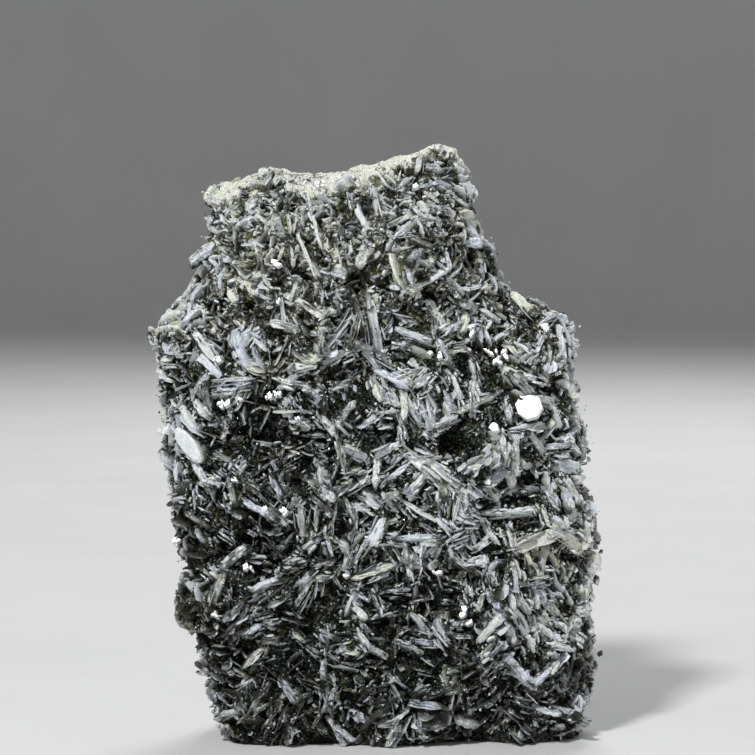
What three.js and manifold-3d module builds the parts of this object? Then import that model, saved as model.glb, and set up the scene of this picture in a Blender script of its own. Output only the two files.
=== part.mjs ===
// A slab-shaped quartz cluster, standing on its flat broken base: a mass of dark grains from which
// thin, flat-faced quartz blades grow in every direction. It all grew as one piece, so it is one solid.
// Millimetres. +Z is up, -Y is the richly crystallised front, and the origin is on the base.
import * as THREE from "three";
import { mergeVertices } from "three/addons/utils/BufferGeometryUtils.js";
import Module from "manifold-3d";

const wasm = await Module();
wasm.setup();

// --- Driving dimensions ---------------------------------------------------------------------------

// The front view's outline, up the left side, up the right side and across the crown.
const LEFT_EDGE = [
  [0, -39.5], [7, -41], [20, -43], [25, -42], [30, -46.5], [35, -48], [41, -45.5], [50, -47.5],
  [61, -49.5], [72, -51.5], [83, -52], [91, -52.5], [96, -53.5], [101, -56], [104, -51], [107, -48.5],
  [113, -45], [121, -43], [131, -41.5], [135, -42], [138, -40],
];
const RIGHT_EDGE = [
  [0, 53.5], [7, 55], [20, 56.5], [33, 55.5], [43, 55.5], [49, 56], [58, 55], [63, 53], [71, 54],
  [80, 52.5], [91, 50], [97, 51], [102.5, 50.5], [106, 46.5], [109, 41], [115, 34.5], [123, 29.5],
  [130, 25], [135, 26], [143, 23.5],
];
const CROWN_EDGE = [
  [-39, 138], [-33, 138.5], [-25, 141.5], [-15, 139.5], [-8, 140], [3, 142.5], [11, 145.5],
  [17.5, 148], [21, 146], [23.5, 143],
];
const LEFT_TOP = 138;
const RIGHT_TOP = 143;

// Half of the slab's thickness, to the front and to the back, at the base and at the crown.
const FRONT_DEPTH = { base: 20, crown: 12.5 };
const BACK_DEPTH = { base: 19, crown: 11 };
const MEAN_HALF_WIDTH = 50;
const MEAN_HALF_DEPTH = 17;
const SQUARENESS = 3.2; // 2 is an ellipse; more is closer to a rectangle
const CROWN_ROUNDING = { from: 0.86, left: 0.4 }; // the crown thins above this share of the height
const FOOT_ROUNDING = { upTo: 0.05, left: 0.93 };

// Broad lumps and hollows of the front: [x, z, half width, half height, how far it stands out].
const FRONT_FORMS = [
  [-20, 83, 15, 5, 2], // ledge over the long crevice
  [42, 51, 11, 4, 2.4], // pale ledge low on the right
  [17, 29, 11, 8, -3],
  [-28, 48, 15, 7, -2.6],
  [-17, 63.5, 10, 5, -1.6],
  [14, 115, 9, 4, 1.6],
  [-38, 34, 11, 9, 2.6],
  [-4, 100, 9, 12, 1.6],
  [36, 94, 10, 8, 1.4],
  [40, 19, 12, 7, 2],
  [-2, 12, 14, 7, 1.6],
  [-29, 126, 8, 8, 1.2],
];
const WAVES = { count: 10, longest: 62, shortest: 11, highest: 1.5, lowest: 0.4, leftAtEdges: 0.25 };
const CRAG = 0.9; // how far a corner of the body's skin is out of line, either way

// Sharp-sided pits of the front: [x, z, half width, half height, depth, angle in the face].
const PITS = [
  [20, 74.5, 3.6, 2.7, 5, 0],
  [-23, 75.5, 14, 2.3, 3.6, -3],
  [44, 44, 8, 2.4, 3.6, 12],
  [-29, 47.5, 9, 3, 3, 15],
  [15, 29, 6, 3.4, 3.2, -20],
  [15, 109.5, 7, 1.8, 2.6, 6],
];

// The clearest crystals of the front: [x, z, angle in the face, length, width seen from the front].
const FRONT_CRYSTALS = [
  [-45, 71, -45, 10, 4.5], [-32, 114, -50, 11, 3], [0, 104, -88, 15.5, 2.2],
  [-3, 128.5, -75, 11.5, 2.5], [-15, 130, -78, 14, 1.5], [1, 87, -80, 6.5, 2.2],
  [11, 79, -78, 14, 3], [5, 89, -42, 9.5, 2.5], [12, 100, -38, 11, 3], [35.5, 89.5, -22, 11.5, 2.8],
  [27, 82.5, 28, 12, 2.2], [-0.5, 78.5, 30, 5, 2.2], [43.5, 71.5, -48, 9.5, 2.2],
  [12.5, 66.5, -42, 10.5, 2], [19, 64, -25, 12.5, 2.2], [20.5, 59, -85, 10.5, 1.2],
  [33, 54.5, 0, 16.5, 1.8], [9.5, 49, 5, 11, 2.2], [41, 49, 18, 13, 2.5], [51, 48.5, -50, 7, 5],
  [-42, 95, -50, 14, 3.5], [-46, 78.5, -48, 9, 2.5], [-36, 88.5, 2, 13, 1.2], [-35, 86, 4, 11, 1.2],
  [-53, 101, 190, 10, 2.6], [-52, 98, 200, 9, 3], [48, 97.5, -88, 14, 1.2],
  [45, 92.5, 75, 7.5, 1.2], [-23, 71.5, -12, 8, 2.2],
  [-20, 74, -5, 7, 1.2], [-4, 69.5, -25, 7.5, 2.5], [4, 70, 22, 6.5, 2], [-8, 59, 15, 10, 1.8],
  [-17.5, 54, -80, 9.5, 2.2], [-6, 54, -75, 8, 2], [1, 50, 60, 6.5, 3.5], [-18, 35, 55, 11, 2.2],
  [-27, 36, 18, 8, 2.2], [38, 28, -60, 10, 3.8], [42, 38, 3, 6.5, 1.2], [47.5, 34.5, -55, 9.5, 1.5],
  [29, 25, 52, 10, 2.2], [6, 35, 0, 7, 1.5], [0, 39.5, 18, 12.5, 1.8], [25, 43, 20, 4.5, 3.5],
  [15, 112.5, 14, 12.5, 1.8], [7, 116, -82, 9.5, 1.8], [9.5, 115, -88, 7.5, 1.2],
  [11.5, 123, -40, 7.5, 3.5],
  [7, 124.5, 35, 8.5, 1.8], [40, 106, -50, 5, 3.5], [-1, 137.5, -70, 7, 2], [-18, 137.5, -80, 6, 3],
  [-35.5, 134.5, 40, 6, 4], [19, 48, 40, 9, 1.5], [45.5, 84.5, -8, 11, 1.5], [40, 76.5, 4, 9, 1.2],
  [37, 72, -80, 8, 2.2], [52, 79, -60, 7.5, 3], [52, 67, -50, 6.5, 5], [39.5, 81.5, 60, 6.5, 6.2],
];
const LIFT = 14; // degrees that the free end of such a crystal stands out of the face
const SET_IN = 0.15; // share of such a crystal's depth that its middle lies under the surface
const CRYSTAL_DEPTH = { ofWidthAnd: 6, least: 1.8, most: 4.5 }; // a narrow one is a blade seen on edge
const SIX_SIDED_FROM = 3.2; // wider crystals have six sides, and narrower ones four

// Crystals that are scattered: how many, on which stretch of the slab's girth, and their sizes.
// The girth's share is 0 at the right side, 0.25 at the back, 0.5 at the left and 0.75 at the front.
const SCATTERED = [
  { count: 53, girth: [0.52, 0.98], rise: [0.02, 0.97], length: [7, 12], lean: [18, 50] },
  { count: 13, girth: [0.42, 0.53], rise: [0.02, 0.97], length: [5, 9], lean: [8, 30] },
  { count: 13, girth: [-0.03, 0.08], rise: [0.02, 0.97], length: [5, 9], lean: [8, 30] },
  { count: 18, girth: [0.1, 0.4], rise: [0.04, 0.95], length: [7, 12], lean: [12, 40] },
  { count: 11, girth: [0.5, 1], rise: [0.97, 0.995], length: [4, 8], lean: [10, 50] },
];
const SCATTERED_WIDTH = [1.6, 3.4];
const EVEN_STEPS = [0.754877666, 0.569840291]; // steps that spread points evenly over a rectangle
const SHOULDER = 0.72; // share of a crystal's length where its point begins
const SUNK = 0.3; // share of a scattered crystal's length that is under the surface
const SEED = 18;

// The body's mesh.
const AROUND = 44;
const CAP_SHARES = [0, 0.36, 0.72]; // rings of the crown and of the base, as shares of its outline
const WALL_ROWS = 18;
const CROWN_CENTRE = new THREE.Vector3(-7, 0, 0);
const BASE_CENTRE = new THREE.Vector3(7, 3, 0);
const UP = new THREE.Vector3(0, 0, 1);
const PIT_FACETS = { around: 8, down: 5 };
const GROUND = { size: 300, thickness: 40 };

// --- Small helpers --------------------------------------------------------------------------------

const radians = THREE.MathUtils.degToRad;
const clamp = THREE.MathUtils.clamp;
const between = ([low, high], share) => low + (high - low) * share;

// The value at `at` in a table of [at, value] pairs, straight between them and level past its ends.
function readTable(table, at) {
  if (at <= table[0][0]) return table[0][1];
  for (let i = 1; i < table.length; i++) {
    const [[from, low], [to, high]] = [table[i - 1], table[i]];
    if (at <= to) return low + ((high - low) * (at - from)) / (to - from);
  }
  return table[table.length - 1][1];
}

// A repeatable source of numbers from 0 to 1.
function makeRandom(seed) {
  let state = seed >>> 0;
  return () => {
    state = (Math.imul(1664525, state) + 1013904223) >>> 0;
    return state / 2 ** 32;
  };
}

// A closed three.js geometry as a solid that can be joined and cut.
function solidOf(geometry) {
  const bare = geometry.clone().deleteAttribute("normal").deleteAttribute("uv");
  const merged = mergeVertices(bare, 1e-4);
  const mesh = new wasm.Mesh({
    numProp: 3,
    vertProperties: merged.getAttribute("position").array,
    triVerts: new Uint32Array(merged.index.array),
  });
  return new wasm.Manifold(mesh);
}

// A solid as a three.js geometry, flat-shaded.
function geometryOf(solid) {
  const { vertProperties, triVerts } = solid.getMesh();
  const geometry = new THREE.BufferGeometry();
  geometry.setAttribute("position", new THREE.BufferAttribute(new Float32Array(vertProperties), 3));
  geometry.setIndex(new THREE.BufferAttribute(new Uint32Array(triVerts), 1));
  const flat = geometry.toNonIndexed();
  flat.computeVertexNormals();
  return flat;
}

// --- The slab's skin ------------------------------------------------------------------------------

// The slab's level section, a rounded rectangle: points spread evenly along its girth, each as shares
// of the half width and half depth.
const SECTION = (() => {
  const steps = 720;
  const points = [];
  let length = 0;
  for (let i = 0; i <= steps; i++) {
    const angle = (2 * Math.PI * i) / steps;
    const [c, s] = [Math.cos(angle), Math.sin(angle)];
    const reach = (Math.abs(c) ** SQUARENESS + Math.abs(s) ** SQUARENESS) ** (-1 / SQUARENESS);
    const [across, through] = [c * reach, s * reach];
    if (i) {
      const [lastAcross, lastThrough] = points[i - 1].slice(1);
      const dx = (across - lastAcross) * MEAN_HALF_WIDTH;
      const dy = (through - lastThrough) * MEAN_HALF_DEPTH;
      length += Math.hypot(dx, dy);
    }
    points.push([length, across, through]);
  }
  return {
    across: points.map(([l, across]) => [l / length, across]),
    through: points.map(([l, , through]) => [l / length, through]),
  };
})();

const wrap = (share) => share - Math.floor(share);

// The long, low waves that make every side of the slab uneven.
const random = makeRandom(SEED);
const WAVE_LIST = Array.from({ length: WAVES.count }, (_, i) => {
  const share = i / (WAVES.count - 1);
  const up = 2 * random() - 1;
  const turn = 2 * Math.PI * random();
  const level = Math.sqrt(1 - up * up);
  const pitch = (2 * Math.PI) / (WAVES.longest * (WAVES.shortest / WAVES.longest) ** share);
  return {
    direction: new THREE.Vector3(level * Math.cos(turn), level * Math.sin(turn), up).multiplyScalar(pitch),
    phase: 2 * Math.PI * random(),
    height: WAVES.highest * (WAVES.lowest / WAVES.highest) ** share,
  };
});

function relief(point, through) {
  let height = 0;
  for (const wave of WAVE_LIST) height += wave.height * Math.sin(wave.direction.dot(point) + wave.phase);
  height *= THREE.MathUtils.lerp(WAVES.leftAtEdges, 1, Math.abs(through));
  const facing = clamp(-through * 2, 0, 1);
  for (const [x, z, halfWidth, halfHeight, out] of FRONT_FORMS) {
    const distance = ((point.x - x) / halfWidth) ** 2 + ((point.z - z) / halfHeight) ** 2;
    height += facing * out * Math.exp(-distance);
  }
  return height;
}

// How much of the full thickness is left at a share of the height.
function thickness(rise) {
  const crown = Math.max(0, (rise - CROWN_ROUNDING.from) / (1 - CROWN_ROUNDING.from));
  const foot = Math.max(0, 1 - rise / FOOT_ROUNDING.upTo);
  const crownLeft = Math.sqrt(1 - (1 - CROWN_ROUNDING.left ** 2) * crown ** 2);
  return crownLeft * (1 - (1 - FOOT_ROUNDING.left) * foot ** 2);
}

// The point of the skin at a share of the girth and a share of the height.
function skin(girth, rise) {
  const across = readTable(SECTION.across, wrap(girth));
  const through = readTable(SECTION.through, wrap(girth));
  const left = readTable(LEFT_EDGE, rise * LEFT_TOP);
  const right = readTable(RIGHT_EDGE, rise * RIGHT_TOP);
  const depth = through < 0 ? FRONT_DEPTH : BACK_DEPTH;
  const halfDepth = thickness(rise) * THREE.MathUtils.lerp(depth.base, depth.crown, rise);
  const point = new THREE.Vector3(
    left + ((across + 1) / 2) * (right - left),
    halfDepth * through,
    0,
  );
  point.z = rise * readTable(CROWN_EDGE, point.x);
  const outX = (Math.sign(across) * Math.abs(across) ** (SQUARENESS - 1)) / MEAN_HALF_WIDTH;
  const outY = (Math.sign(through) * Math.abs(through) ** (SQUARENESS - 1)) / MEAN_HALF_DEPTH;
  const out = new THREE.Vector3(outX, outY, 0).normalize();
  point.addScaledVector(out, relief(point, through));
  point.z = rise * readTable(CROWN_EDGE, point.x);
  return point;
}

// The skin's point with the directions round the girth, up the height and out of the slab.
function skinFrame(girth, rise) {
  const [dGirth, dRise] = [0.006, 0.012];
  const around = skin(girth + dGirth, rise).sub(skin(girth - dGirth, rise)).normalize();
  const upper = skin(girth, Math.min(1, rise + dRise));
  const up = upper.sub(skin(girth, Math.max(0, rise - dRise))).normalize();
  const out = new THREE.Vector3().crossVectors(around, up).normalize();
  return { point: skin(girth, rise), around, up: new THREE.Vector3().crossVectors(out, around), out };
}

// The girth's share on the front face, at a place of the front view.
function girthAt(x, rise) {
  const left = readTable(LEFT_EDGE, rise * LEFT_TOP);
  const right = readTable(RIGHT_EDGE, rise * RIGHT_TOP);
  const across = clamp((2 * (x - left)) / (right - left) - 1, -0.98, 0.98);
  let [low, high] = [0.5, 1];
  for (let i = 0; i < 30; i++) {
    const middle = (low + high) / 2;
    if (readTable(SECTION.across, middle) < across) low = middle;
    else high = middle;
  }
  return (low + high) / 2;
}

// The frame at a place of the front view.
function frontFrame(x, z) {
  const rise = clamp(z / readTable(CROWN_EDGE, x), 0.02, 0.985);
  return skinFrame(girthAt(x, rise), rise);
}

// The direction at an angle in the skin, anticlockwise from level as seen from outside.
function inSkin(frame, angle) {
  const direction = frame.around.clone().multiplyScalar(Math.cos(angle));
  return direction.addScaledVector(frame.up, Math.sin(angle));
}

// --- The body -------------------------------------------------------------------------------------

// A corner of the body: a row of the crown's rings, then the walls' rows, then the base's rings.
function bodyPoint(row, lastRow, girth) {
  const rings = CAP_SHARES.length;
  if (row < rings) {
    const point = skin(girth, 1).lerp(CROWN_CENTRE, 1 - CAP_SHARES[row]);
    point.z = readTable(CROWN_EDGE, point.x);
    return point;
  }
  if (row > lastRow - rings) return skin(girth, 0).lerp(BASE_CENTRE, 1 - CAP_SHARES[lastRow - row]);
  return skin(girth, 1 - (row - rings) / (WALL_ROWS - 1));
}

// The body: a sphere's corners moved to their places, with the walls' ones out of line by up to CRAG.
function bodyGeometry() {
  const rings = CAP_SHARES.length;
  const lastRow = 2 * rings + WALL_ROWS - 1;
  const geometry = new THREE.SphereGeometry(1, AROUND, lastRow);
  const position = geometry.getAttribute("position");
  const crag = Array.from({ length: AROUND * (lastRow + 1) }, () => (2 * random() - 1) * CRAG);
  for (let i = 0; i < position.count; i++) {
    const row = Math.floor(i / (AROUND + 1));
    const column = (i % (AROUND + 1)) % AROUND;
    const point = bodyPoint(row, lastRow, column / AROUND);
    const out = row < rings ? UP : skinFrame(column / AROUND, 1 - (row - rings) / (WALL_ROWS - 1)).out;
    if (row > 0 && row <= lastRow - rings) point.addScaledVector(out, crag[row * AROUND + column]);
    position.setXYZ(i, point.x, point.y, point.z);
  }
  return geometry;
}

// A faceted bowl, to be cut into the front.
function pitGeometry([x, z, halfWidth, halfHeight, depth, angle]) {
  const frame = frontFrame(x, z);
  const along = inSkin(frame, radians(angle));
  const up = new THREE.Vector3().crossVectors(frame.out, along);
  const place = new THREE.Matrix4().makeBasis(along, up, frame.out).setPosition(frame.point);
  const bowl = new THREE.SphereGeometry(1, PIT_FACETS.around, PIT_FACETS.down);
  return bowl.scale(halfWidth, halfHeight, depth).applyMatrix4(place);
}

// --- The crystals ---------------------------------------------------------------------------------

// A flattened prism with a point, from its root at the origin along +Y.
function crystalGeometry(length, width, depth) {
  const sides = width < SIX_SIDED_FROM ? 4 : 6;
  const halfSide = Math.PI / sides;
  const geometry = new THREE.CylinderGeometry(0, 1 / Math.cos(halfSide), 2, sides, 2, false, halfSide);
  const position = geometry.getAttribute("position");
  for (let i = 0; i < position.count; i++) {
    const [x, y, z] = [position.getX(i), position.getY(i), position.getZ(i)];
    const spread = y === 0 ? 2 : 1; // the middle row is widened to the prism's full width
    const along = y < 0 ? 0 : y === 0 ? SHOULDER : 1;
    position.setXYZ(i, (x * spread * width) / 2, along * length, (z * spread * depth) / 2);
  }
  return geometry;
}

// A crystal stands with its length along `axis` and its depth as near as can be along `out`.
function placeCrystal({ root, axis, out, length, width, depth }) {
  const side = new THREE.Vector3().crossVectors(axis, out).normalize();
  const facing = new THREE.Vector3().crossVectors(side, axis);
  const turn = new THREE.Matrix4().makeBasis(side, axis, facing).setPosition(root);
  return crystalGeometry(length, width, depth).applyMatrix4(turn);
}

function frontCrystals() {
  return FRONT_CRYSTALS.map(([x, z, angle, length, width]) => {
    const frame = frontFrame(x, z);
    const axis = inSkin(frame, radians(angle)).multiplyScalar(Math.cos(radians(LIFT)));
    axis.addScaledVector(frame.out, Math.sin(radians(LIFT)));
    const depth = clamp(CRYSTAL_DEPTH.ofWidthAnd - width, CRYSTAL_DEPTH.least, CRYSTAL_DEPTH.most);
    const root = frame.point.clone().addScaledVector(axis, -length / 2);
    root.addScaledVector(frame.out, -depth * SET_IN);
    return { root, axis, out: frame.out, length, width, depth };
  });
}

function scatteredCrystals() {
  const made = [];
  for (const { count, girth, rise, length, lean } of SCATTERED)
    for (let i = 0; i < count; i++) {
      const evenly = EVEN_STEPS.map((step) => wrap(0.5 + step * i));
      const frame = skinFrame(between(girth, evenly[0]), between(rise, evenly[1]));
      const turn = 2 * Math.PI * random();
      const leaning = radians(between(lean, random()));
      const axis = inSkin(frame, turn).multiplyScalar(Math.cos(leaning));
      axis.addScaledVector(frame.out, Math.sin(leaning));
      const size = between(length, random());
      const width = between(SCATTERED_WIDTH, random());
      const depth = clamp(CRYSTAL_DEPTH.ofWidthAnd - width, CRYSTAL_DEPTH.least, CRYSTAL_DEPTH.most);
      const root = frame.point.clone().addScaledVector(axis, -size * SUNK);
      made.push({ root, axis, out: frame.out, length: size, width, depth });
    }
  return made;
}

// --- The whole piece ------------------------------------------------------------------------------

function clusterGeometry() {
  let solid = solidOf(bodyGeometry());
  for (const pit of PITS) solid = solid.subtract(solidOf(pitGeometry(pit)));
  for (const crystal of [...frontCrystals(), ...scatteredCrystals()])
    solid = solid.add(solidOf(placeCrystal(crystal)));
  const ground = new THREE.BoxGeometry(GROUND.size, GROUND.size, GROUND.thickness);
  ground.translate(0, 0, -GROUND.thickness / 2);
  return geometryOf(solid.subtract(solidOf(ground)));
}

const quartz = new THREE.MeshStandardMaterial({ color: 0x8f9388, roughness: 0.35, metalness: 0 });
const cluster = new THREE.Mesh(clusterGeometry(), quartz);
cluster.name = "quartz_cluster";

const specimen = new THREE.Group();
specimen.add(cluster);
export default specimen;
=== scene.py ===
# %% [markdown]
# # A quartz cluster, bristling with thin blades
#
# The piece is a thick slab of rock that stands on its flat base. Its faces are covered with a dark
# druse, a crust of grains, and out of the druse grow hundreds of thin, milky blades of quartz, mostly
# seen on edge, so that the whole thing looks like a tangle of pale walls over dark gaps.
#
# Everything is one grown-together piece, so every mesh made here rides on the same body and stands
# for the same solid. The lesson goes from the inside out: the slab, the blades, the small plates, the
# bright faces, and the grains. The floor, the lights and the camera come last.

import bpy
import numpy as np
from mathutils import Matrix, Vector
from mathutils.bvhtree import BVHTree


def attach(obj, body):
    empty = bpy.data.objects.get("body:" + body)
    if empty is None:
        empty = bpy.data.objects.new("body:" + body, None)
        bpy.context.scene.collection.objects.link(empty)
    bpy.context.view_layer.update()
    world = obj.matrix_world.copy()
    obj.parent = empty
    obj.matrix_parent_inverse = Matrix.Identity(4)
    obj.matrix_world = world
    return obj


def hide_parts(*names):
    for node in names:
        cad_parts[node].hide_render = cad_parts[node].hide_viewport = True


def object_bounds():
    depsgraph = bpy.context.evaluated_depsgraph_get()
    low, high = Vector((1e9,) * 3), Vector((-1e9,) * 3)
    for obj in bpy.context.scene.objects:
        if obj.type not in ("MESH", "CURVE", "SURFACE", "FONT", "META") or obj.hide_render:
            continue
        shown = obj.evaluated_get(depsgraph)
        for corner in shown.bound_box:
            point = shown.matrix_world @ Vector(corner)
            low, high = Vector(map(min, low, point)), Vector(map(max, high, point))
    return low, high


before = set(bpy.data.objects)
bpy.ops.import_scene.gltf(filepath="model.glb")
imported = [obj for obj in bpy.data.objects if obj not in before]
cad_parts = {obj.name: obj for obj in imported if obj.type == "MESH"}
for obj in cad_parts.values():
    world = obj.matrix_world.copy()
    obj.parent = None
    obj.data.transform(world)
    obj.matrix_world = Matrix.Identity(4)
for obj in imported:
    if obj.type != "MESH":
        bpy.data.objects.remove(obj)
cad_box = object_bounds()
MM = 0.001
print("the solid's box, in mm:", [[round(v / MM, 1) for v in corner] for corner in cad_box])

# %% [markdown]
# ## The slab's outline
#
# The slab is described by its front outline and its thickness. A point of its skin is then named by
# two shares: how far round the girth it is, and how far up. The same rule shapes the solid that the
# frame holds, so the blades that are placed with it stand where the solid's own crystals do.

# %% The slab's sizes, in millimetres
LEFT_EDGE = [
    (0, -39.5), (7, -41), (20, -43), (25, -42), (30, -46.5), (35, -48), (41, -45.5), (50, -47.5),
    (61, -49.5), (72, -51.5), (83, -52), (91, -52.5), (96, -53.5), (101, -56), (104, -51),
    (107, -48.5), (113, -45), (121, -43), (131, -41.5), (135, -42), (138, -40),
]
RIGHT_EDGE = [
    (0, 53.5), (7, 55), (20, 56.5), (33, 55.5), (43, 55.5), (49, 56), (58, 55), (63, 53), (71, 54),
    (80, 52.5), (91, 50), (97, 51), (102.5, 50.5), (106, 46.5), (109, 41), (115, 34.5), (123, 29.5),
    (130, 25), (135, 26), (143, 23.5),
]
CROWN_EDGE = [
    (-39, 138), (-33, 138.5), (-25, 141.5), (-15, 139.5), (-8, 140), (3, 142.5), (11, 145.5),
    (17.5, 148), (21, 146), (23.5, 143),
]
LEFT_TOP = 138
RIGHT_TOP = 143
FRONT_DEPTH = (20, 12.5)  # at the base and at the crown
BACK_DEPTH = (19, 11)
MEAN_HALF_WIDTH = 50
MEAN_HALF_DEPTH = 17
SQUARENESS = 3.2
CROWN_ROUNDING = (0.86, 0.4)
FOOT_ROUNDING = (0.05, 0.93)
FRONT_FORMS = [
    (-20, 83, 15, 5, 2), (42, 51, 11, 4, 2.4), (17, 29, 11, 8, -3), (-28, 48, 15, 7, -2.6),
    (-17, 63.5, 10, 5, -1.6), (14, 115, 9, 4, 1.6), (-38, 34, 11, 9, 2.6), (-4, 100, 9, 12, 1.6),
    (36, 94, 10, 8, 1.4), (40, 19, 12, 7, 2), (-2, 12, 14, 7, 1.6), (-29, 126, 8, 8, 1.2),
]  # lumps and hollows of the front: x, z, half width, half height, how far it stands out
PITS = [
    (20, 74.5, 3.6, 2.7, 5), (-23, 75.5, 14, 2.3, 3.6), (44, 44, 8, 2.4, 3.6),
    (-29, 47.5, 9, 3, 3), (15, 29, 6, 3.4, 3.2), (15, 109.5, 7, 1.8, 2.6),
]  # sharp-sided pits of the front: x, z, half width, half height, depth
CRUST_EDGE = [
    (-42, 5), (-36, 4), (-31, 1.5), (-22, 1.5), (-18, 5), (-13, 3.5), (-6, 3), (0, 1.5), (9, 1.2),
    (14, 0.6), (24, 0.6),
]  # how far down from the crown the creamy crust comes, by x
ZONES = [
    (-30, 50, 24, 18, -0.4), (14, 29, 13, 9, -0.3), (-22, 74, 18, 7, -0.2), (45, 66, 12, 18, 0.04),
    (44, 28, 14, 14, 0.12), (50, 48, 9, 7, 0.1), (-28, 27, 16, 9, -0.3), (6, 34, 24, 16, -0.15),
    (0, 118, 30, 18, -0.14), (8, 88, 16, 14, 0.1), (8, 62, 16, 12, 0.1), (-42, 90, 9, 9, 0.1),
    (-14, 60, 12, 5, -0.15), (-22, 23, 9, 7, -0.15), (-14, 105, 14, 7, -0.1), (-48, 40, 8, 30, -0.15),
    (3, 104, 6, 6, -0.2), (-43, 33, 7, 6, -0.15), (30, 96, 20, 12, -0.12), (40, 32, 16, 14, -0.1),
]  # paler and darker stretches of the front: x, z, half width, half height, change of whiteness
WAVE_COUNT = 10
WAVE_LENGTHS = (62, 11)
WAVE_HEIGHTS = (1.5, 0.4)
WAVES_LEFT_AT_EDGES = 0.25
SEED = 18
CROWN_CENTRE = np.array([-7, 0, 0])
BASE_CENTRE = np.array([7, 3, 0])
GIRTH_LENGTH = 300  # all the way round the slab, roughly
HEIGHT = 140
print("the slab is about", MEAN_HALF_WIDTH * 2, "mm wide,", MEAN_HALF_DEPTH * 2, "thick and", HEIGHT, "high")

# %% Stretches of the slab, as shares of its girth and of its height
FRONT = (0.5, 1.0)  # the girth's share is 0 at the right side, 0.25 at the back, and 0.5 at the left
WITHIN_FRONT = (0.52, 0.98)
BACK = (0.0, 0.5)
WITHIN_BACK = (0.08, 0.42)
LEFT_SIDE = (0.42, 0.53)
RIGHT_SIDE = (-0.03, 0.08)
WALL = (0.02, 0.97)
NECK_WALL = (0.69, 0.97)
NECK = 104  # mm: from here up the druse is mostly small plates, and few blades stand out of it

# %% [markdown]
# ## The slab's skin
#
# Real rock is never smooth, so long, low waves, a few broad lumps and some sharp pits are laid over a
# plain rounded block. Everything that grows on the slab later asks this skin for its place and for the
# way out, so all the parts agree. The waves come from the same random numbers as the solid's.

# %% Small helpers
def make_random(seed):
    """A repeatable source of numbers from 0 to 1, the same one that the solid was made with."""
    state = seed

    def draw():
        nonlocal state
        state = (1664525 * state + 1013904223) % 2**32
        return state / 2**32

    return draw


def read_table(table, at):
    places, values = zip(*table)
    return np.interp(at, places, values)


def lerp(low, high, share):
    return low + (high - low) * share


def unit(vectors):
    return vectors / np.maximum(np.linalg.norm(vectors, axis=-1, keepdims=True), 1e-9)


def elliptic(x, z, x0, z0, half_width, half_height):
    """The squared distance of places from a middle, 1 on the ellipse of that half width and height."""
    return ((x - x0) / half_width) ** 2 + ((z - z0) / half_height) ** 2


def turned(first, second, angle):
    """Two directions at right angles, both turned in their plane."""
    return first * np.cos(angle) + second * np.sin(angle), second * np.cos(angle) - first * np.sin(angle)

# %% The section and the waves
def section():
    """Shares along the girth, with the half width's and half depth's share at each."""
    angle = np.linspace(0, 2 * np.pi, 721)
    right = np.cos(angle)
    behind = np.sin(angle)
    reach = (np.abs(right) ** SQUARENESS + np.abs(behind) ** SQUARENESS) ** (-1 / SQUARENESS)
    across = right * reach
    through = behind * reach
    steps = np.hypot(np.diff(across) * MEAN_HALF_WIDTH, np.diff(through) * MEAN_HALF_DEPTH)
    share = np.concatenate([[0], np.cumsum(steps)])
    return share / share[-1], across, through


def make_waves(draw):
    """The long, low waves that make every side uneven: direction, phase and height of each."""
    waves = []
    for i in range(WAVE_COUNT):
        share = i / (WAVE_COUNT - 1)
        up = 2 * draw() - 1
        turn = 2 * np.pi * draw()
        level = np.sqrt(1 - up * up)
        pitch = 2 * np.pi / (WAVE_LENGTHS[0] * (WAVE_LENGTHS[1] / WAVE_LENGTHS[0]) ** share)
        direction = pitch * np.array([level * np.cos(turn), level * np.sin(turn), up])
        phase = 2 * np.pi * draw()
        waves.append((direction, phase, WAVE_HEIGHTS[0] * (WAVE_HEIGHTS[1] / WAVE_HEIGHTS[0]) ** share))
    return waves


SHARE, ACROSS, THROUGH = section()
random = make_random(SEED)
WAVES = make_waves(random)
print(len(WAVES), "waves; the longest is", round(2 * np.pi / np.linalg.norm(WAVES[0][0])), "mm long")

# %% Points of the skin
def relief(point, through):
    """How far the skin stands out of the plain slab."""
    height = sum(h * np.sin(point @ direction + phase) for direction, phase, h in WAVES)
    height = height * lerp(WAVES_LEFT_AT_EDGES, 1, np.abs(through))
    facing = np.clip(-through * 2, 0, 1)
    for *form, out in FRONT_FORMS:
        height = height + facing * out * np.exp(-elliptic(point[:, 0], point[:, 2], *form))
    return height


def thickness(rise):
    """How much of the full thickness is left at a share of the height."""
    crown = np.maximum(0, (rise - CROWN_ROUNDING[0]) / (1 - CROWN_ROUNDING[0]))
    foot = np.maximum(0, 1 - rise / FOOT_ROUNDING[0])
    crown_left = np.sqrt(1 - (1 - CROWN_ROUNDING[1] ** 2) * crown**2)
    return crown_left * (1 - (1 - FOOT_ROUNDING[1]) * foot**2)


def skin(girth, rise):
    """Points of the skin, in millimetres, at shares of the girth and of the height."""
    girth = np.mod(girth, 1)
    across = np.interp(girth, SHARE, ACROSS)
    through = np.interp(girth, SHARE, THROUGH)
    left = read_table(LEFT_EDGE, rise * LEFT_TOP)
    right = read_table(RIGHT_EDGE, rise * RIGHT_TOP)
    depth = np.where(through < 0, lerp(*FRONT_DEPTH, rise), lerp(*BACK_DEPTH, rise)) * thickness(rise)
    x = left + (across + 1) / 2 * (right - left)
    point = np.stack([x, depth * through, rise * read_table(CROWN_EDGE, x)], 1)
    out_x = np.sign(across) * np.abs(across) ** (SQUARENESS - 1) / MEAN_HALF_WIDTH
    out_y = np.sign(through) * np.abs(through) ** (SQUARENESS - 1) / MEAN_HALF_DEPTH
    out = np.stack([out_x, out_y, 0 * out_x], 1)
    out /= np.linalg.norm(out, axis=1, keepdims=True)
    point = point + out * relief(point, through)[:, None]
    point[:, 2] = rise * read_table(CROWN_EDGE, point[:, 0])
    return point


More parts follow.
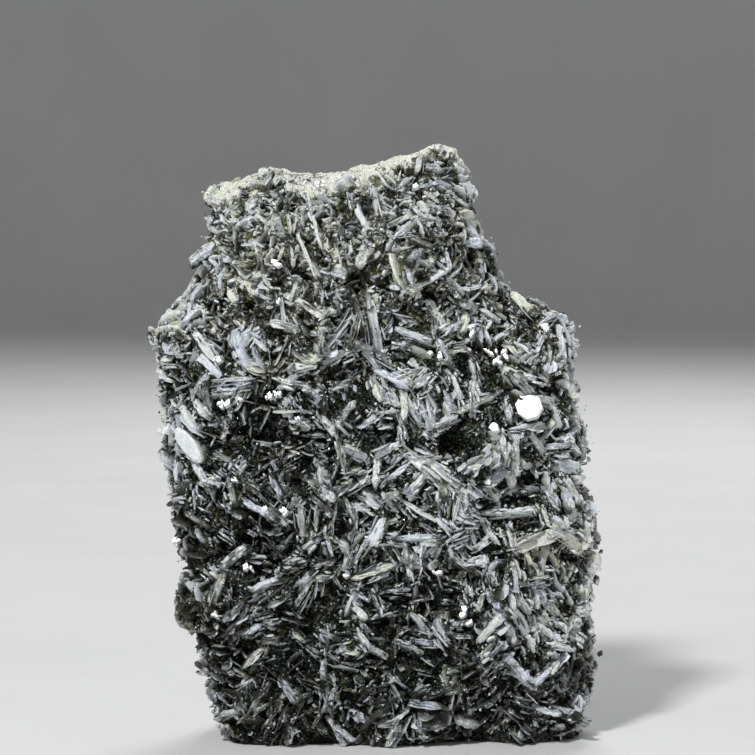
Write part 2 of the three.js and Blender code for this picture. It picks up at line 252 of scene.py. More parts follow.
print("skin at mid front:", skin(np.array([0.75]), np.array([0.5])).round(2))

# %% Directions of the skin, and places on it
ROUND_STEP = 0.006  # shares of the girth and of the height between which a direction is measured
UP_STEP = 0.012


def skin_frame(girth, rise):
    """The skin's points, with the directions round the girth, up the height and out of the slab."""
    girth = np.atleast_1d(np.asarray(girth, float))
    rise = np.atleast_1d(np.asarray(rise, float))
    around = unit(skin(girth + ROUND_STEP, rise) - skin(girth - ROUND_STEP, rise))
    up = unit(skin(girth, np.minimum(1, rise + UP_STEP)) - skin(girth, np.maximum(0, rise - UP_STEP)))
    out = unit(np.cross(around, up))
    return skin(girth, rise), around, np.cross(out, around), out


def front_place(x, z):
    """Shares of the girth and of the height at places of the front view."""
    x = np.asarray(x, float)
    rise = np.clip(np.asarray(z, float) / read_table(CROWN_EDGE, x), 0.02, 0.985)
    left = read_table(LEFT_EDGE, rise * LEFT_TOP)
    right = read_table(RIGHT_EDGE, rise * RIGHT_TOP)
    across = np.clip(2 * (x - left) / (right - left) - 1, -0.98, 0.98)
    front = SHARE >= 0.5
    return np.interp(across, ACROSS[front], SHARE[front]), rise


def front_frame(x, z):
    return skin_frame(*front_place(x, z))


def spread(rng, count, girth, rise=(0.005, 0.998)):
    """Random places on a stretch of the skin."""
    return skin_frame(rng.uniform(*girth, count), rng.uniform(*rise, count))


def crown_spread(rng, count):
    """Random places on the crown, the broken end that faces up."""
    rim = skin(rng.uniform(0, 1, count), np.ones(count))
    point = CROWN_CENTRE + (rim - CROWN_CENTRE) * np.sqrt(rng.uniform(0, 1, count))[:, None]
    point[:, 2] = read_table(CROWN_EDGE, point[:, 0]) - 0.5
    slope = (read_table(CROWN_EDGE, point[:, 0] + 2) - read_table(CROWN_EDGE, point[:, 0] - 2)) / 4
    around = unit(np.stack([np.ones(count), np.zeros(count), slope], 1))
    up = np.tile([0.0, 1.0, 0.0], (count, 1))
    return point, around, up, np.cross(around, up)


middle_frame = np.array(front_frame(0, HEIGHT / 2))[:, 0]
print("middle of the front, with its ways round, up and out:", middle_frame.round(2).tolist())

# %% [markdown]
# ## Crust, hollows and patches
#
# The druse isn't the same all over. Along the crown, and in blotches of the neck, it is a creamy crust,
# and between them the neck is full of small hollows. Some stretches are paler than others. Each of
# these is a rule that gives a share for any place, and both the shapes and the finishes follow it.

# %% What the druse is like at a place
HOLLOW_DEPTH = 1.8


def blotches(point, size, seed):
    """Smooth, uneven values of about -1 to 1, in blotches of about one size."""
    rng = np.random.default_rng(seed)
    pitch = 2 * np.pi / (size * rng.uniform(0.8, 1.8, (14, 1)))
    return np.sin(point @ (unit(rng.normal(size=(14, 3))) * pitch).T + rng.uniform(0, 7, 14)).sum(1) / 3.5


def zone(x, z, table):
    """The sum of what a table's soft-edged patches say at each place."""
    change = np.zeros(len(x))
    for *patch, by in table:
        change += by * np.exp(-elliptic(x, z, *patch))
    return change


def crust_share(point):
    """How much of the druse is a milky crust: all of it along the crown, and much of it on the neck."""
    below = read_table(CROWN_EDGE, point[:, 0]) - point[:, 2]
    rim = np.interp(below - read_table(CRUST_EDGE, point[:, 0]), [0, 2.5], [1, 0])
    pale = 0.45 * np.interp(point[:, 2], [86, NECK], [0, 1])
    pale = pale + 2.5 * np.clip(zone(point[:, 0], point[:, 2], ZONES), 0, 0.2)
    return np.maximum(rim, np.minimum(pale, 0.7) * np.clip(0.5 + 1.2 * blotches(point, 5, 2), 0, 1))


def hollow_share(point):
    """How much of a place is in one of the neck's small hollows, which are a few millimetres wide."""
    return np.interp(point[:, 2], [94, 106], [0, 1]) * np.clip(-1.8 * blotches(point, 5, 2) - 0.1, 0, 1)


def sink_in_hollows(crystals):
    """Crystals of the hollows, set back into them."""
    deep = HOLLOW_DEPTH * hollow_share(crystals["middle"]) * (1 - crust_share(crystals["middle"]))
    crystals["middle"] = crystals["middle"] - crystals["facing"] * deep[:, None]
    return crystals


crown_middle = np.array([[0.0, 0.0, HEIGHT]])
print("crust at the crown's middle:", crust_share(crown_middle).round(2))
print("and half as high:", crust_share(crown_middle / 2).round(2))

# %% [markdown]
# ## Modelling helpers
#
# Operators act on whatever is selected, so each piece starts with nothing selected. Most crystals here
# begin as one flat face with a chosen outline, which is then extruded. Each finished piece is given to
# the frame: it rides on the one body, and it stands for the one solid.

# %% Helpers for objects and their corners
def select_only(obj):
    bpy.ops.object.select_all(action="DESELECT")
    obj.select_set(True)
    bpy.context.view_layer.objects.active = obj


def name_it(name):
    obj = bpy.context.object
    obj.name = name
    obj.data.name = name
    return obj


def read_array(items, what, kind, width=3):
    """One property of many mesh items, as an array with a row for each."""
    values = np.empty(len(items) * width, kind)
    items.foreach_get(what, values)
    return values.reshape(-1, width)


def corners(mesh):
    return read_array(mesh.vertices, "co", np.float32)


def normals(mesh):
    return read_array(mesh.vertex_normals, "vector", float)


def set_corners(mesh, points):
    mesh.vertices.foreach_set("co", np.asarray(points, np.float32).ravel())
    mesh.update()


def apply_modifier(obj, kind, **settings):
    modifier = obj.modifiers.new(kind.title(), kind)
    for key, value in settings.items():
        setattr(modifier, key, value)
    select_only(obj)
    bpy.ops.object.modifier_apply(modifier=modifier.name)


def lay_face(name, sides, reshape, **where):
    """A flat face, its corners moved by a rule, all selected and ready to be extruded."""
    bpy.ops.object.select_all(action="DESELECT")
    bpy.ops.mesh.primitive_circle_add(vertices=sides, radius=0.5, fill_type="NGON", **where)
    piece = name_it(name)
    bpy.ops.object.transform_apply(location=True, rotation=True, scale=True)
    set_corners(piece.data, reshape(corners(piece.data)))
    bpy.ops.object.mode_set(mode="EDIT")
    bpy.ops.mesh.select_all(action="SELECT")
    return piece


def extrude(x, y, z):
    bpy.ops.mesh.extrude_region_move(TRANSFORM_OT_translate={"value": (x, y, z)})


def turn_faces(inside=False):
    """Ends edit mode, with all faces turned outwards, or inwards for a room."""
    bpy.ops.mesh.select_all(action="SELECT")
    bpy.ops.mesh.normals_make_consistent(inside=inside)
    bpy.ops.object.mode_set(mode="OBJECT")

# %% Hand a finished piece to the frame
def belongs(obj, material):
    obj.data.materials.clear()
    obj.data.materials.append(material)
    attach(obj, "root")
    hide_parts("quartz_cluster")
    print(obj.name, "has", len(obj.data.polygons), "faces")

# %% [markdown]
# ## Material helpers
#
# A few short functions keep the node trees readable: one adds a node and sets its inputs, and the rest
# are named for the one node each of them adds, such as a colour ramp, a noise or a mix of two colours.

# %% Node helpers
PER_MM = 1000  # a texture's scale of one to the millimetre, for coordinates in metres
QUARTZ_IOR = 1.54


def new_material(name, **sockets):
    """A material, its node tree and its shader, with values for the shader's sockets."""
    material = bpy.data.materials.new(name)
    material.use_nodes = True
    shader = material.node_tree.nodes["Principled BSDF"]
    for socket, value in sockets.items():
        shader.inputs[socket.replace("_", " ")].default_value = value
    return material, material.node_tree, shader


def node(tree, kind, inputs=None, **settings):
    made = tree.nodes.new(kind)
    for key, value in settings.items():
        setattr(made, key, value)
    for key, value in (inputs or {}).items():
        if isinstance(value, bpy.types.NodeSocket):
            tree.links.new(value, made.inputs[key])
        else:
            made.inputs[key].default_value = value
    return made


def ramp(tree, factor, stops):
    """A colour ramp with (place, colour) stops, a number standing for a grey."""
    made = node(tree, "ShaderNodeValToRGB", {"Fac": factor})
    elements = made.color_ramp.elements
    while len(elements) < len(stops):
        elements.new(0.5)
    for element, (place, colour) in zip(elements, stops):
        element.position = place
        grey = isinstance(colour, (int, float))
        element.color = (colour, colour, colour, 1) if grey else (*colour, 1)
    return made.outputs["Color"]


def mix(tree, factor, first, second, blend="MIX"):
    made = node(tree, "ShaderNodeMix", data_type="RGBA", blend_type=blend)
    for socket, value in ((made.inputs["Factor"], factor), (made.inputs[6], first), (made.inputs[7], second)):
        if isinstance(value, bpy.types.NodeSocket):
            tree.links.new(value, socket)
        elif isinstance(value, tuple):
            socket.default_value = (*value, 1)
        else:
            socket.default_value = value
    return made.outputs[2]


def maths(tree, operation, first, second):
    return node(tree, "ShaderNodeMath", {0: first, 1: second}, operation=operation).outputs[0]


def add_shares(tree, total, *terms):
    """A total with more added to it: each term is a value and how much of it counts."""
    for value, amount in terms:
        total = maths(tree, "ADD", total, maths(tree, "MULTIPLY", value, amount))
    return total


def less(tree, value, amount):
    return maths(tree, "SUBTRACT", value, amount)


def noise(tree, vector, scale, detail=3.0, roughness=0.6):
    inputs = {"Vector": vector, "Scale": scale, "Detail": detail, "Roughness": roughness}
    return node(tree, "ShaderNodeTexNoise", inputs).outputs["Fac"]


def object_place(tree):
    return node(tree, "ShaderNodeTexCoord").outputs["Object"]


def attribute(tree, name):
    return node(tree, "ShaderNodeAttribute", attribute_name=name).outputs


def cells(tree, vector, cells_per_mm):
    """A pattern of cells: how far each place is from its cell's middle, and each cell's own numbers."""
    made = node(tree, "ShaderNodeTexVoronoi", {"Vector": vector, "Scale": cells_per_mm * PER_MM})
    return made.outputs["Distance"], separate(tree, made.outputs["Color"])


def separate(tree, colour):
    return node(tree, "ShaderNodeSeparateColor", {"Color": colour}).outputs


def bump(tree, shader, height, distance, strength):
    made = node(tree, "ShaderNodeBump", {"Height": height, "Distance": distance, "Strength": strength})
    tree.links.new(made.outputs["Normal"], shader.inputs["Normal"])

# %% [markdown]
# ## Moss and bloom
#
# No part of the piece has quite the colour of the next: some patches are stained olive and brown by
# what has settled there, and others have a cool, lilac bloom. One noise decides which, everywhere, so
# that a stain runs on from the druse over the blades. The neck is stained most, and the foot least.

# %% The stain that all finishes share
HEIGHT_SHARE = 5.0  # turns a height in metres to a share from 0 to about 0.75


def rise_of(tree, place):
    height = node(tree, "ShaderNodeSeparateXYZ", {"Vector": place}).outputs["Z"]
    return maths(tree, "MULTIPLY", height, HEIGHT_SHARE)


def moss(tree, place, up_the_neck):
    """About 0.5: higher where the piece is stained, and lower where it has a cool bloom."""
    by_height = ramp(tree, rise_of(tree, place), [(0.1, -0.03), (0.4, 0.0), (0.55, up_the_neck)])
    return maths(tree, "ADD", noise(tree, place, 0.5 * PER_MM, 3.0, 0.7), by_height)

# %% [markdown]
# ## The finish of the druse
#
# The druse is a crust of dark grains: black-green, olive and brown, with pale specks between them;
# the palest specks are partly painted glints. Each grain is one cell of a cell pattern, with a colour
# of its own, and a bump of the same cells catches the light, because a smooth dark surface would look
# like paint. The grains are also painted paler where the druse stands out and darker in its dips, a
# painted shade.

# %% The druse's material
def salt_and_pepper(tree, place, chance):
    """The colours of single grains, from black to nearly white, by a chance number.

    The dark ones are brown or olive in some patches, and blue-black in others.
    """
    tinge = ramp(tree, moss(tree, place, 0.08), [
        (0.40, (0.7, 0.86, 1.2)), (0.48, (0.92, 1.0, 0.98)),
        (0.55, (1.05, 1.1, 0.74)), (0.66, (1.15, 1.08, 0.55)),
    ])
    olive = ramp(tree, rise_of(tree, place), [(0.45, 0.0), (0.6, 0.2)])
    dark = ramp(tree, add_shares(tree, olive, (chance, 0.85)), [
        (0.0, (0.004, 0.005, 0.004)), (0.3, (0.013, 0.015, 0.012)), (0.45, (0.045, 0.049, 0.038)),
        (0.6, (0.09, 0.098, 0.08)), (0.8, (0.20, 0.21, 0.19)),
    ])
    # The palest grains are partly a painted glint, standing in for the sparkle of the druse's faces.
    pale = ramp(tree, chance, [
        (0.76, (0.22, 0.235, 0.225)), (0.9, (0.55, 0.57, 0.58)), (1.05, (0.90, 0.92, 0.94)),
    ])
    speck = ramp(tree, chance, [(0.76, 0.0), (0.86, 1.0)])
    return mix(tree, speck, mix(tree, 1.0, dark, tinge, "MULTIPLY"), pale)


def druse_material():
    material, tree, shader = new_material("druse", Roughness=0.22, Specular_IOR_Level=0.25)
    place = object_place(tree)
    roundness, grain = cells(tree, place, 1.9)
    patch = noise(tree, place, 0.16 * PER_MM, 4.0, 0.7)
    clump = noise(tree, place, 0.55 * PER_MM, 2.0)
    neck = ramp(tree, rise_of(tree, place), [(0.45, 0.0), (0.55, 1.0)])
    crust = attribute(tree, "crust")["Fac"]
    standing_out = attribute(tree, "standing_out")["Fac"]
    alike = add_shares(tree, maths(tree, "MULTIPLY", crust, 0.5), (neck, 0.3))
    # Where the druse stands out its grains are paler, and in its dips darker: a painted shade.
    chance = add_shares(
        tree, maths(tree, "MULTIPLY", grain[0], less(tree, 1.0, alike)),
        (less(tree, patch, 0.68), 1.3), (crust, 1.2), (standing_out, 0.12), (neck, 0.12),
        (maths(tree, "MULTIPLY", less(tree, clump, 0.5), neck), 1.3),
    )
    grains = salt_and_pepper(tree, place, chance)
    cream = maths(tree, "MULTIPLY", crust, ramp(tree, rise_of(tree, place), [(0.45, 0.2), (0.6, 1.0)]))
    creamy = mix(tree, cream, (1.0, 1.0, 1.0), (0.98, 0.96, 0.84))
    tree.links.new(mix(tree, 1.0, grains, creamy, "MULTIPLY"), shader.inputs["Base Color"])
    bump(tree, shader, roundness, 0.0005, 1.0)
    return material


DRUSE = druse_material()
print(DRUSE.name, "has", len(DRUSE.node_tree.nodes), "nodes")

# %% [markdown]
# ## The slab
#
# A sphere's rows become the slab's: the rows near its top pole lie on the crown, the rows near its
# bottom pole lie on the base, and the rest go down the walls. Displace modifiers then roughen it, from
# lumps of seven millimetres down to single grains. It lies a little under the solid's skin, because the
# blades stand out of it, and the gaps between them are what looks dark. The crust lies less deep.

# %% Shape the slab
SLAB_COLUMNS = 340
SLAB_ROWS = 200
SLAB_CAP_ROWS = 12
SLAB_SUNK = 2.3  # how far the druse lies under the solid's skin
CRUST_THICKNESS = 1.5
SLAB_FRONT_SHARE = 0.6  # share of the columns that go to the front, which is seen closest


def pit_depth(point):
    """How deep the sharp-sided pits are at places of the front."""
    depth = np.zeros(len(point))
    for *pit, deep in PITS:
        distance = elliptic(point[:, 0], point[:, 2], *pit)
        depth = np.maximum(depth, deep * np.sqrt(np.clip(1.3 - distance, 0, 1)))
    return depth


def slab_point(row, girth):
    """Where a corner of the sphere goes: row counts down from the crown's pole."""
    cap = np.minimum(row, SLAB_ROWS - row) / SLAB_CAP_ROWS
    wall = np.clip((row - SLAB_CAP_ROWS) / (SLAB_ROWS - 2 * SLAB_CAP_ROWS), 0, 1)
    rise = 1 - wall
    point, _, _, out = skin_frame(girth, rise)
    crust = crust_share(point)
    sunk = SLAB_SUNK - CRUST_THICKNESS * crust + HOLLOW_DEPTH * hollow_share(point) * (1 - crust)
    sunk += np.where(out[:, 1] < -0.4, pit_depth(point), 0)
    point = point - out * sunk[:, None]
    point[:, 2] = np.maximum(point[:, 2], 0)
    point[:, 2] = np.where(rise == 0, 0, point[:, 2])
    inner = np.where((row < SLAB_ROWS / 2)[:, None], CROWN_CENTRE, BASE_CENTRE)
    share = np.clip(cap, 0, 1)[:, None]
    blended = inner + (point - inner) * share
    crown_height = read_table(CROWN_EDGE, blended[:, 0]) - (SLAB_SUNK - CRUST_THICKNESS)
    crown_height += 0.8 * (1 - share[:, 0] ** 2)
    blended[:, 2] = np.where(row < SLAB_CAP_ROWS, crown_height, point[:, 2])
    return blended

# %% Roughen it
def texture(name, kind, size, **settings):
    made = bpy.data.textures.new(name, kind)
    made.noise_scale = size * MM
    for key, value in settings.items():
        setattr(made, key, value)
    return made


def model_slab():
    bpy.ops.object.select_all(action="DESELECT")
    bpy.ops.mesh.primitive_uv_sphere_add(segments=SLAB_COLUMNS, ring_count=SLAB_ROWS, radius=1)
    slab = name_it("dark_druse")
    place = corners(slab.data)
    row = np.round(np.arccos(np.clip(place[:, 2], -1, 1)) / np.pi * SLAB_ROWS)
    column = np.mod(np.arctan2(place[:, 1], place[:, 0]) / (2 * np.pi), 1)
    girth = np.interp(column, [0, 1 - SLAB_FRONT_SHARE, 1], [0, 0.5, 1])
    plain = slab_point(row, girth)
    set_corners(slab.data, plain * MM)
    before = normals(slab.data)
    for pattern, strength in (
        (texture("lumps", "CLOUDS", 7, noise_depth=2), 2.4),
        (texture("crust", "VORONOI", 2.6, distance_metric="DISTANCE"), 1.8),
        (texture("grains", "VORONOI", 1.0, distance_metric="DISTANCE"), 0.9),
    ):
        apply_modifier(slab, "DISPLACE", texture=pattern, strength=strength * MM, mid_level=0.5,
                       texture_coords="LOCAL")
    point = corners(slab.data)
    point[:, 2] = np.where(row >= SLAB_ROWS - SLAB_CAP_ROWS, 0, np.clip(point[:, 2], 0, cad_box[1][2]))
    set_corners(slab.data, point)
    # How far each corner stands out of the plain slab: the druse's finish paints its dips darker with it, a
    # painted shade.
    standing_out = np.einsum("nk,nk->n", point / MM - plain, before)
    for name, value in (("standing_out", standing_out), ("crust", crust_share(plain))):
        made = slab.data.attributes.new(name, "FLOAT", "POINT")
        made.data.foreach_set("value", value.astype(np.float32))
    return slab


slab = model_slab()
belongs(slab, DRUSE)
slab_points = corners(slab.data) / MM
print("slab box, in mm:", slab_points.min(0).round(1), slab_points.max(0).round(1))

# %% [markdown]
# ## Growing many crystals from a few
#
# A few crystals are modelled one by one. Each is then copied hundreds of times, turned, stretched and bent
# a little, and all copies are joined in one mesh that is filled from arrays. Every corner remembers
# where it is on its own crystal, so that the finish can run streaks along each blade, and every crystal
# keeps a tone of its own.

# %% Take a modelled crystal's shape
def picked(crystals, pick):
    return {key: value[pick] for key, value in crystals.items()}


def take_shape(obj):
    """A modelled crystal as corner and triangle arrays. The crystal itself is then deleted."""
    apply_modifier(obj, "TRIANGULATE")
    points = corners(obj.data).astype(float)
    triangles = read_array(obj.data.polygons, "vertices", np.int32)
    bpy.data.objects.remove(obj, do_unlink=True)
    return points, triangles

# %% Keep crystals inside the solid and out of the deepest pits
STRAY = 1.2  # how far crystals may stand over the crown's outline
FURTHER_ASIDE = 0.8  # how much further they may stand out at the sides
OPEN_PITS = [(20.2, 74.5, 3.3, 2.6), (-24, 75.8, 5, 0.9)]  # x, z, half width, half height


def beyond_outline(x, z):
    """How far places are outside the slab's outline, seen from the front."""
    sides = np.maximum(read_table(LEFT_EDGE, z) - x, x - read_table(RIGHT_EDGE, z)) - FURTHER_ASIDE
    return np.maximum(sides, z - read_table(CROWN_EDGE, x))


def fits(placed):
    """True for crystals that stay inside the solid's box and outline and clear of the open pits."""
    low, high = (np.array(corner) / MM for corner in cad_box)
    kept = ((placed >= low) & (placed <= high)).all((1, 2))
    kept &= (beyond_outline(placed[..., 0], placed[..., 2]) < STRAY).all(1)
    for pit in OPEN_PITS:
        over = elliptic(placed[..., 0], placed[..., 2], *pit) < 1
        kept &= ~(over & (placed[..., 1] < 0)).any(1)
    return kept

# %% Copy a shape many times
def grow(name, shapes, crystals, rng, bend=0.0, ragged=0.0, arch=0.0, soft=0.0, lift_root_shade=0.0):
    """One mesh of many crystals. crystals holds arrays: middle, along, side, facing, size and tone.

    bend curves each copy sideways, arch lowers its ends, and ragged moves its corners, in millimetres.
    Edges blunter than soft, in degrees, look rounded. The last argument lifts the painted shade of the roots,
    so that they look as pale as the edges.
    """
    points, triangles, lengths, tones = [], [], [], []
    first = 0
    pick = rng.integers(len(shapes), size=len(crystals["middle"]))
    for index, (shape, faces) in enumerate(shapes):
        mine = picked(crystals, pick == index)
        count = len(mine["middle"])
        end_for_end = rng.choice([-1, 1], (count, 1, 1))
        local = np.repeat(shape[None], count, 0) * end_for_end ** np.array([1, 0, 0])
        size = mine["size"][:, None, :]
        curve = bend * rng.normal(size=(count, 1))
        own = local * size
        own[..., 1] += curve * (local[..., 0] ** 2 - 0.08) * size[..., 0]
        own[..., 2] -= arch * rng.uniform(0, 4, (count, 1)) * local[..., 0] ** 2 * size[..., 2]
        own += ragged * rng.normal(size=own.shape) * np.minimum(size[..., 1:2], 1.5)
        turn = np.stack([mine["along"], mine["side"], mine["facing"]], 1)
        placed = mine["middle"][:, None, :] + np.einsum("nvk,nkd->nvd", own, turn)
        placed[..., 2] = np.maximum(placed[..., 2], 0)
        kept = fits(placed)
        count = kept.sum()
        points.append(placed[kept].reshape(-1, 3))
        mirrored = np.where(end_for_end[kept] < 0, faces[None, :, ::-1], faces[None])
        offset = first + np.arange(count)[:, None, None] * len(shape)
        triangles.append((mirrored + offset).reshape(-1, 3))
        own += rng.uniform(0, 500, (len(own), 1, 3))
        lengths.append(own[kept].reshape(-1, 3))
        # The fourth tone number is each corner's height in its crystal, from root to free edge: the blades'
        # finish paints the roots darker and the free edges whiter with it, a painted shade and a painted
        # highlight.
        depth = np.clip(local[..., 2] + 0.5 + lift_root_shade, 0, 1)
        tone = np.repeat(mine["tone"][:, None, :], len(shape), 1)
        tones.append(np.concatenate([tone, depth[..., None]], 2)[kept].reshape(-1, 4))
        first += count * len(shape)
    return mesh_from(name, np.concatenate(points) * MM, np.concatenate(triangles),
                     np.concatenate(lengths) * MM, np.concatenate(tones), soft)


def mesh_from(name, points, triangles, own, tone, soft):
    """A new object, its mesh filled from arrays. Its edges stay sharp unless soft is given."""
    mesh = bpy.data.meshes.new(name)
    mesh.vertices.add(len(points))
    mesh.loops.add(triangles.size)
    mesh.polygons.add(len(triangles))
    mesh.polygons.foreach_set("loop_start", np.arange(0, triangles.size, 3, dtype=np.int32))
    mesh.loops.foreach_set("vertex_index", triangles.ravel().astype(np.int32))
    set_corners(mesh, points)
    mesh.attributes.new("own_place", "FLOAT_VECTOR", "POINT").data.foreach_set("vector", own.ravel())
    mesh.attributes.new("tone", "FLOAT_COLOR", "POINT").data.foreach_set("color", tone.ravel())
    mesh.validate()
    if soft:
        mesh.shade_smooth()
        mesh.set_sharp_from_angle(angle=np.radians(soft))
    else:
        mesh.shade_flat()
    obj = bpy.data.objects.new(name, mesh)
    bpy.context.scene.collection.objects.link(obj)
    return obj

# %% [markdown]
# ## The kinds of blade
#
# A blade is a thin crystal lying on its long side, so that it is seen on edge. It is modelled as a
# crystal grows: a small end face is extruded along the blade, station by station, and each station is
# scaled to be thicker, thinner, higher or lower than the last. A lath has a few long, straight facets
# and pointed ends, a splinter has a cracked, uneven edge, and a needle is the thinnest and simplest. A
# tablet is a crystal that lies flat and shows its broad face: an outline with a bevelled rim.

# %% The blades' end faces, as outlines in Y and Z
ROOT = [(-0.4, -0.9), (0.4, -0.9)]
SPLINTER_ROOT = [(-0.42, -0.9), (0.42, -0.9)]
NEEDLE_OUTLINE = [*ROOT, (0.5, 0), (0.05, 0.45), (-0.5, 0)]


def lath_outline(rng, crest):
    ribs = crest * rng.uniform(0.55, 1, 5)
    edges = rng.uniform(-0.15, 0.05, 2)
    return [
        *ROOT, (0.5, edges[0]), (0.36, ribs[0]), (0.16, ribs[1]), (0.0, ribs[2]),
        (-0.18, ribs[3]), (-0.37, ribs[4]), (-0.5, edges[1]),
    ]


def splinter_outline(rng):
    crest = rng.uniform(0.12, 0.42, 3)
    split = rng.uniform(-0.2, 0.2)
    groove = rng.choice([0.02, 0.2])
    return [
        *SPLINTER_ROOT, (0.5, 0), (rng.uniform(0.3, 0.5), crest[0]),
        (split + 0.14, min(crest[:2]) - groove), (split, crest[1]), (split - 0.14, min(crest[1:]) - groove),
        (rng.uniform(-0.5, -0.3), crest[2]),
    ]

# %% Model the blades and the tablet
STATION_PLACES = [0, 0.125, 0.35, 0.65, 0.875, 1]
TABLET_SIDES = 10


def model_blade(rng, outline, ends, uneven, stations=8):
    """A blade from -0.5 to 0.5 along X, about 1 thick in Y and 1 deep in Z, with its root below."""
    blade = lay_face("blade", len(outline), lambda circle: [(-0.5, y, z) for y, z in outline])
    shares = np.linspace(0, 1, stations + 1)
    first, last = rng.uniform(*ends, (2, 2))
    thick = np.interp(shares, STATION_PLACES, [first[0], 0.94, 1, 1, 0.94, last[0]])
    thick = thick * rng.uniform(1 - uneven, 1, len(shares))
    high = np.interp(shares, STATION_PLACES, [first[1], 0.9, 1, 1, 0.9, last[1]])
    high = high * rng.uniform(1 - uneven / 2, 1, len(shares))
    bpy.ops.transform.resize(value=(1, thick[0], high[0]), center_override=(0, 0, -0.5))
    for i in range(1, len(shares)):
        extrude(1 / stations, 0, 0)
        change = (1, thick[i] / thick[i - 1], high[i] / high[i - 1])
        bpy.ops.transform.resize(value=change, center_override=(0, 0, -0.5))
    turn_faces()
    point = corners(blade.data)
    slant = rng.uniform(-0.2, 0.2, 2)
    point[:, 1] += 0.14 * uneven * np.interp(point[:, 0], shares - 0.5, rng.normal(0, 1, len(shares)))
    point[:, 0] += point[:, 2] * np.interp(point[:, 0], [-0.5, -0.3, 0.3, 0.5], [slant[0], 0, 0, slant[1]])
    point[:, 2] += np.where(point[:, 2] > 0, rng.normal(0, 0.17 * uneven, len(point)), 0)
    set_corners(blade.data, point)
    return blade


def model_tablet(rng):
    """A flat crystal from about -0.5 to 0.5 in X and Y, with a bevelled rim, and 1 thick in Z."""
    shares = [(share, share, 1) for share in rng.uniform(0.86, 1.06, TABLET_SIDES)]
    tablet = lay_face("tablet", TABLET_SIDES, lambda circle: circle * shares, location=(0, 0, -0.9))
    extrude(0, 0, 1.15)
    extrude(0, 0, 0.15)
    bpy.ops.transform.resize(value=(0.84, 0.8, 1))
    turn_faces()
    return tablet


LATH_CRESTS = (0.05, 0.07, 0.1, 0.12, 0.15, 0.18, 0.24)
blade_rng = np.random.default_rng(3)
lath_shapes = [
    take_shape(model_blade(blade_rng, lath_outline(blade_rng, crest), (0.3, 0.9), 0.18))
    for crest in LATH_CRESTS
]
splinter_shapes = [
    take_shape(model_blade(blade_rng, splinter_outline(blade_rng), (0.3, 0.85), 0.35)) for _ in range(8)
]
needle_shapes = [take_shape(model_blade(blade_rng, NEEDLE_OUTLINE, (0.2, 0.8), 0.3, 4)) for _ in range(4)]
tablet_shapes = [take_shape(model_tablet(blade_rng))]
for kind, shapes in (
    ("lath", lath_shapes), ("splinter", splinter_shapes),
    ("needle", needle_shapes), ("tablet", tablet_shapes),
):
    print(len(shapes), kind, "shapes of", len(shapes[0][1]), "triangles")

# %% [markdown]
# ## The milky finish
#
# Quartz of this kind is milky: white where it is thick, and grey-green or bluish where the dark druse
# shows through. Real light goes into it and comes out beside where it entered, which is subsurface
# scattering. The blades are painted whiter towards their free edges, a painted highlight, and darker
# towards their roots, a painted shade of the gaps between them. They are also streaked along their
# length, and dusted with dark grains towards their roots.

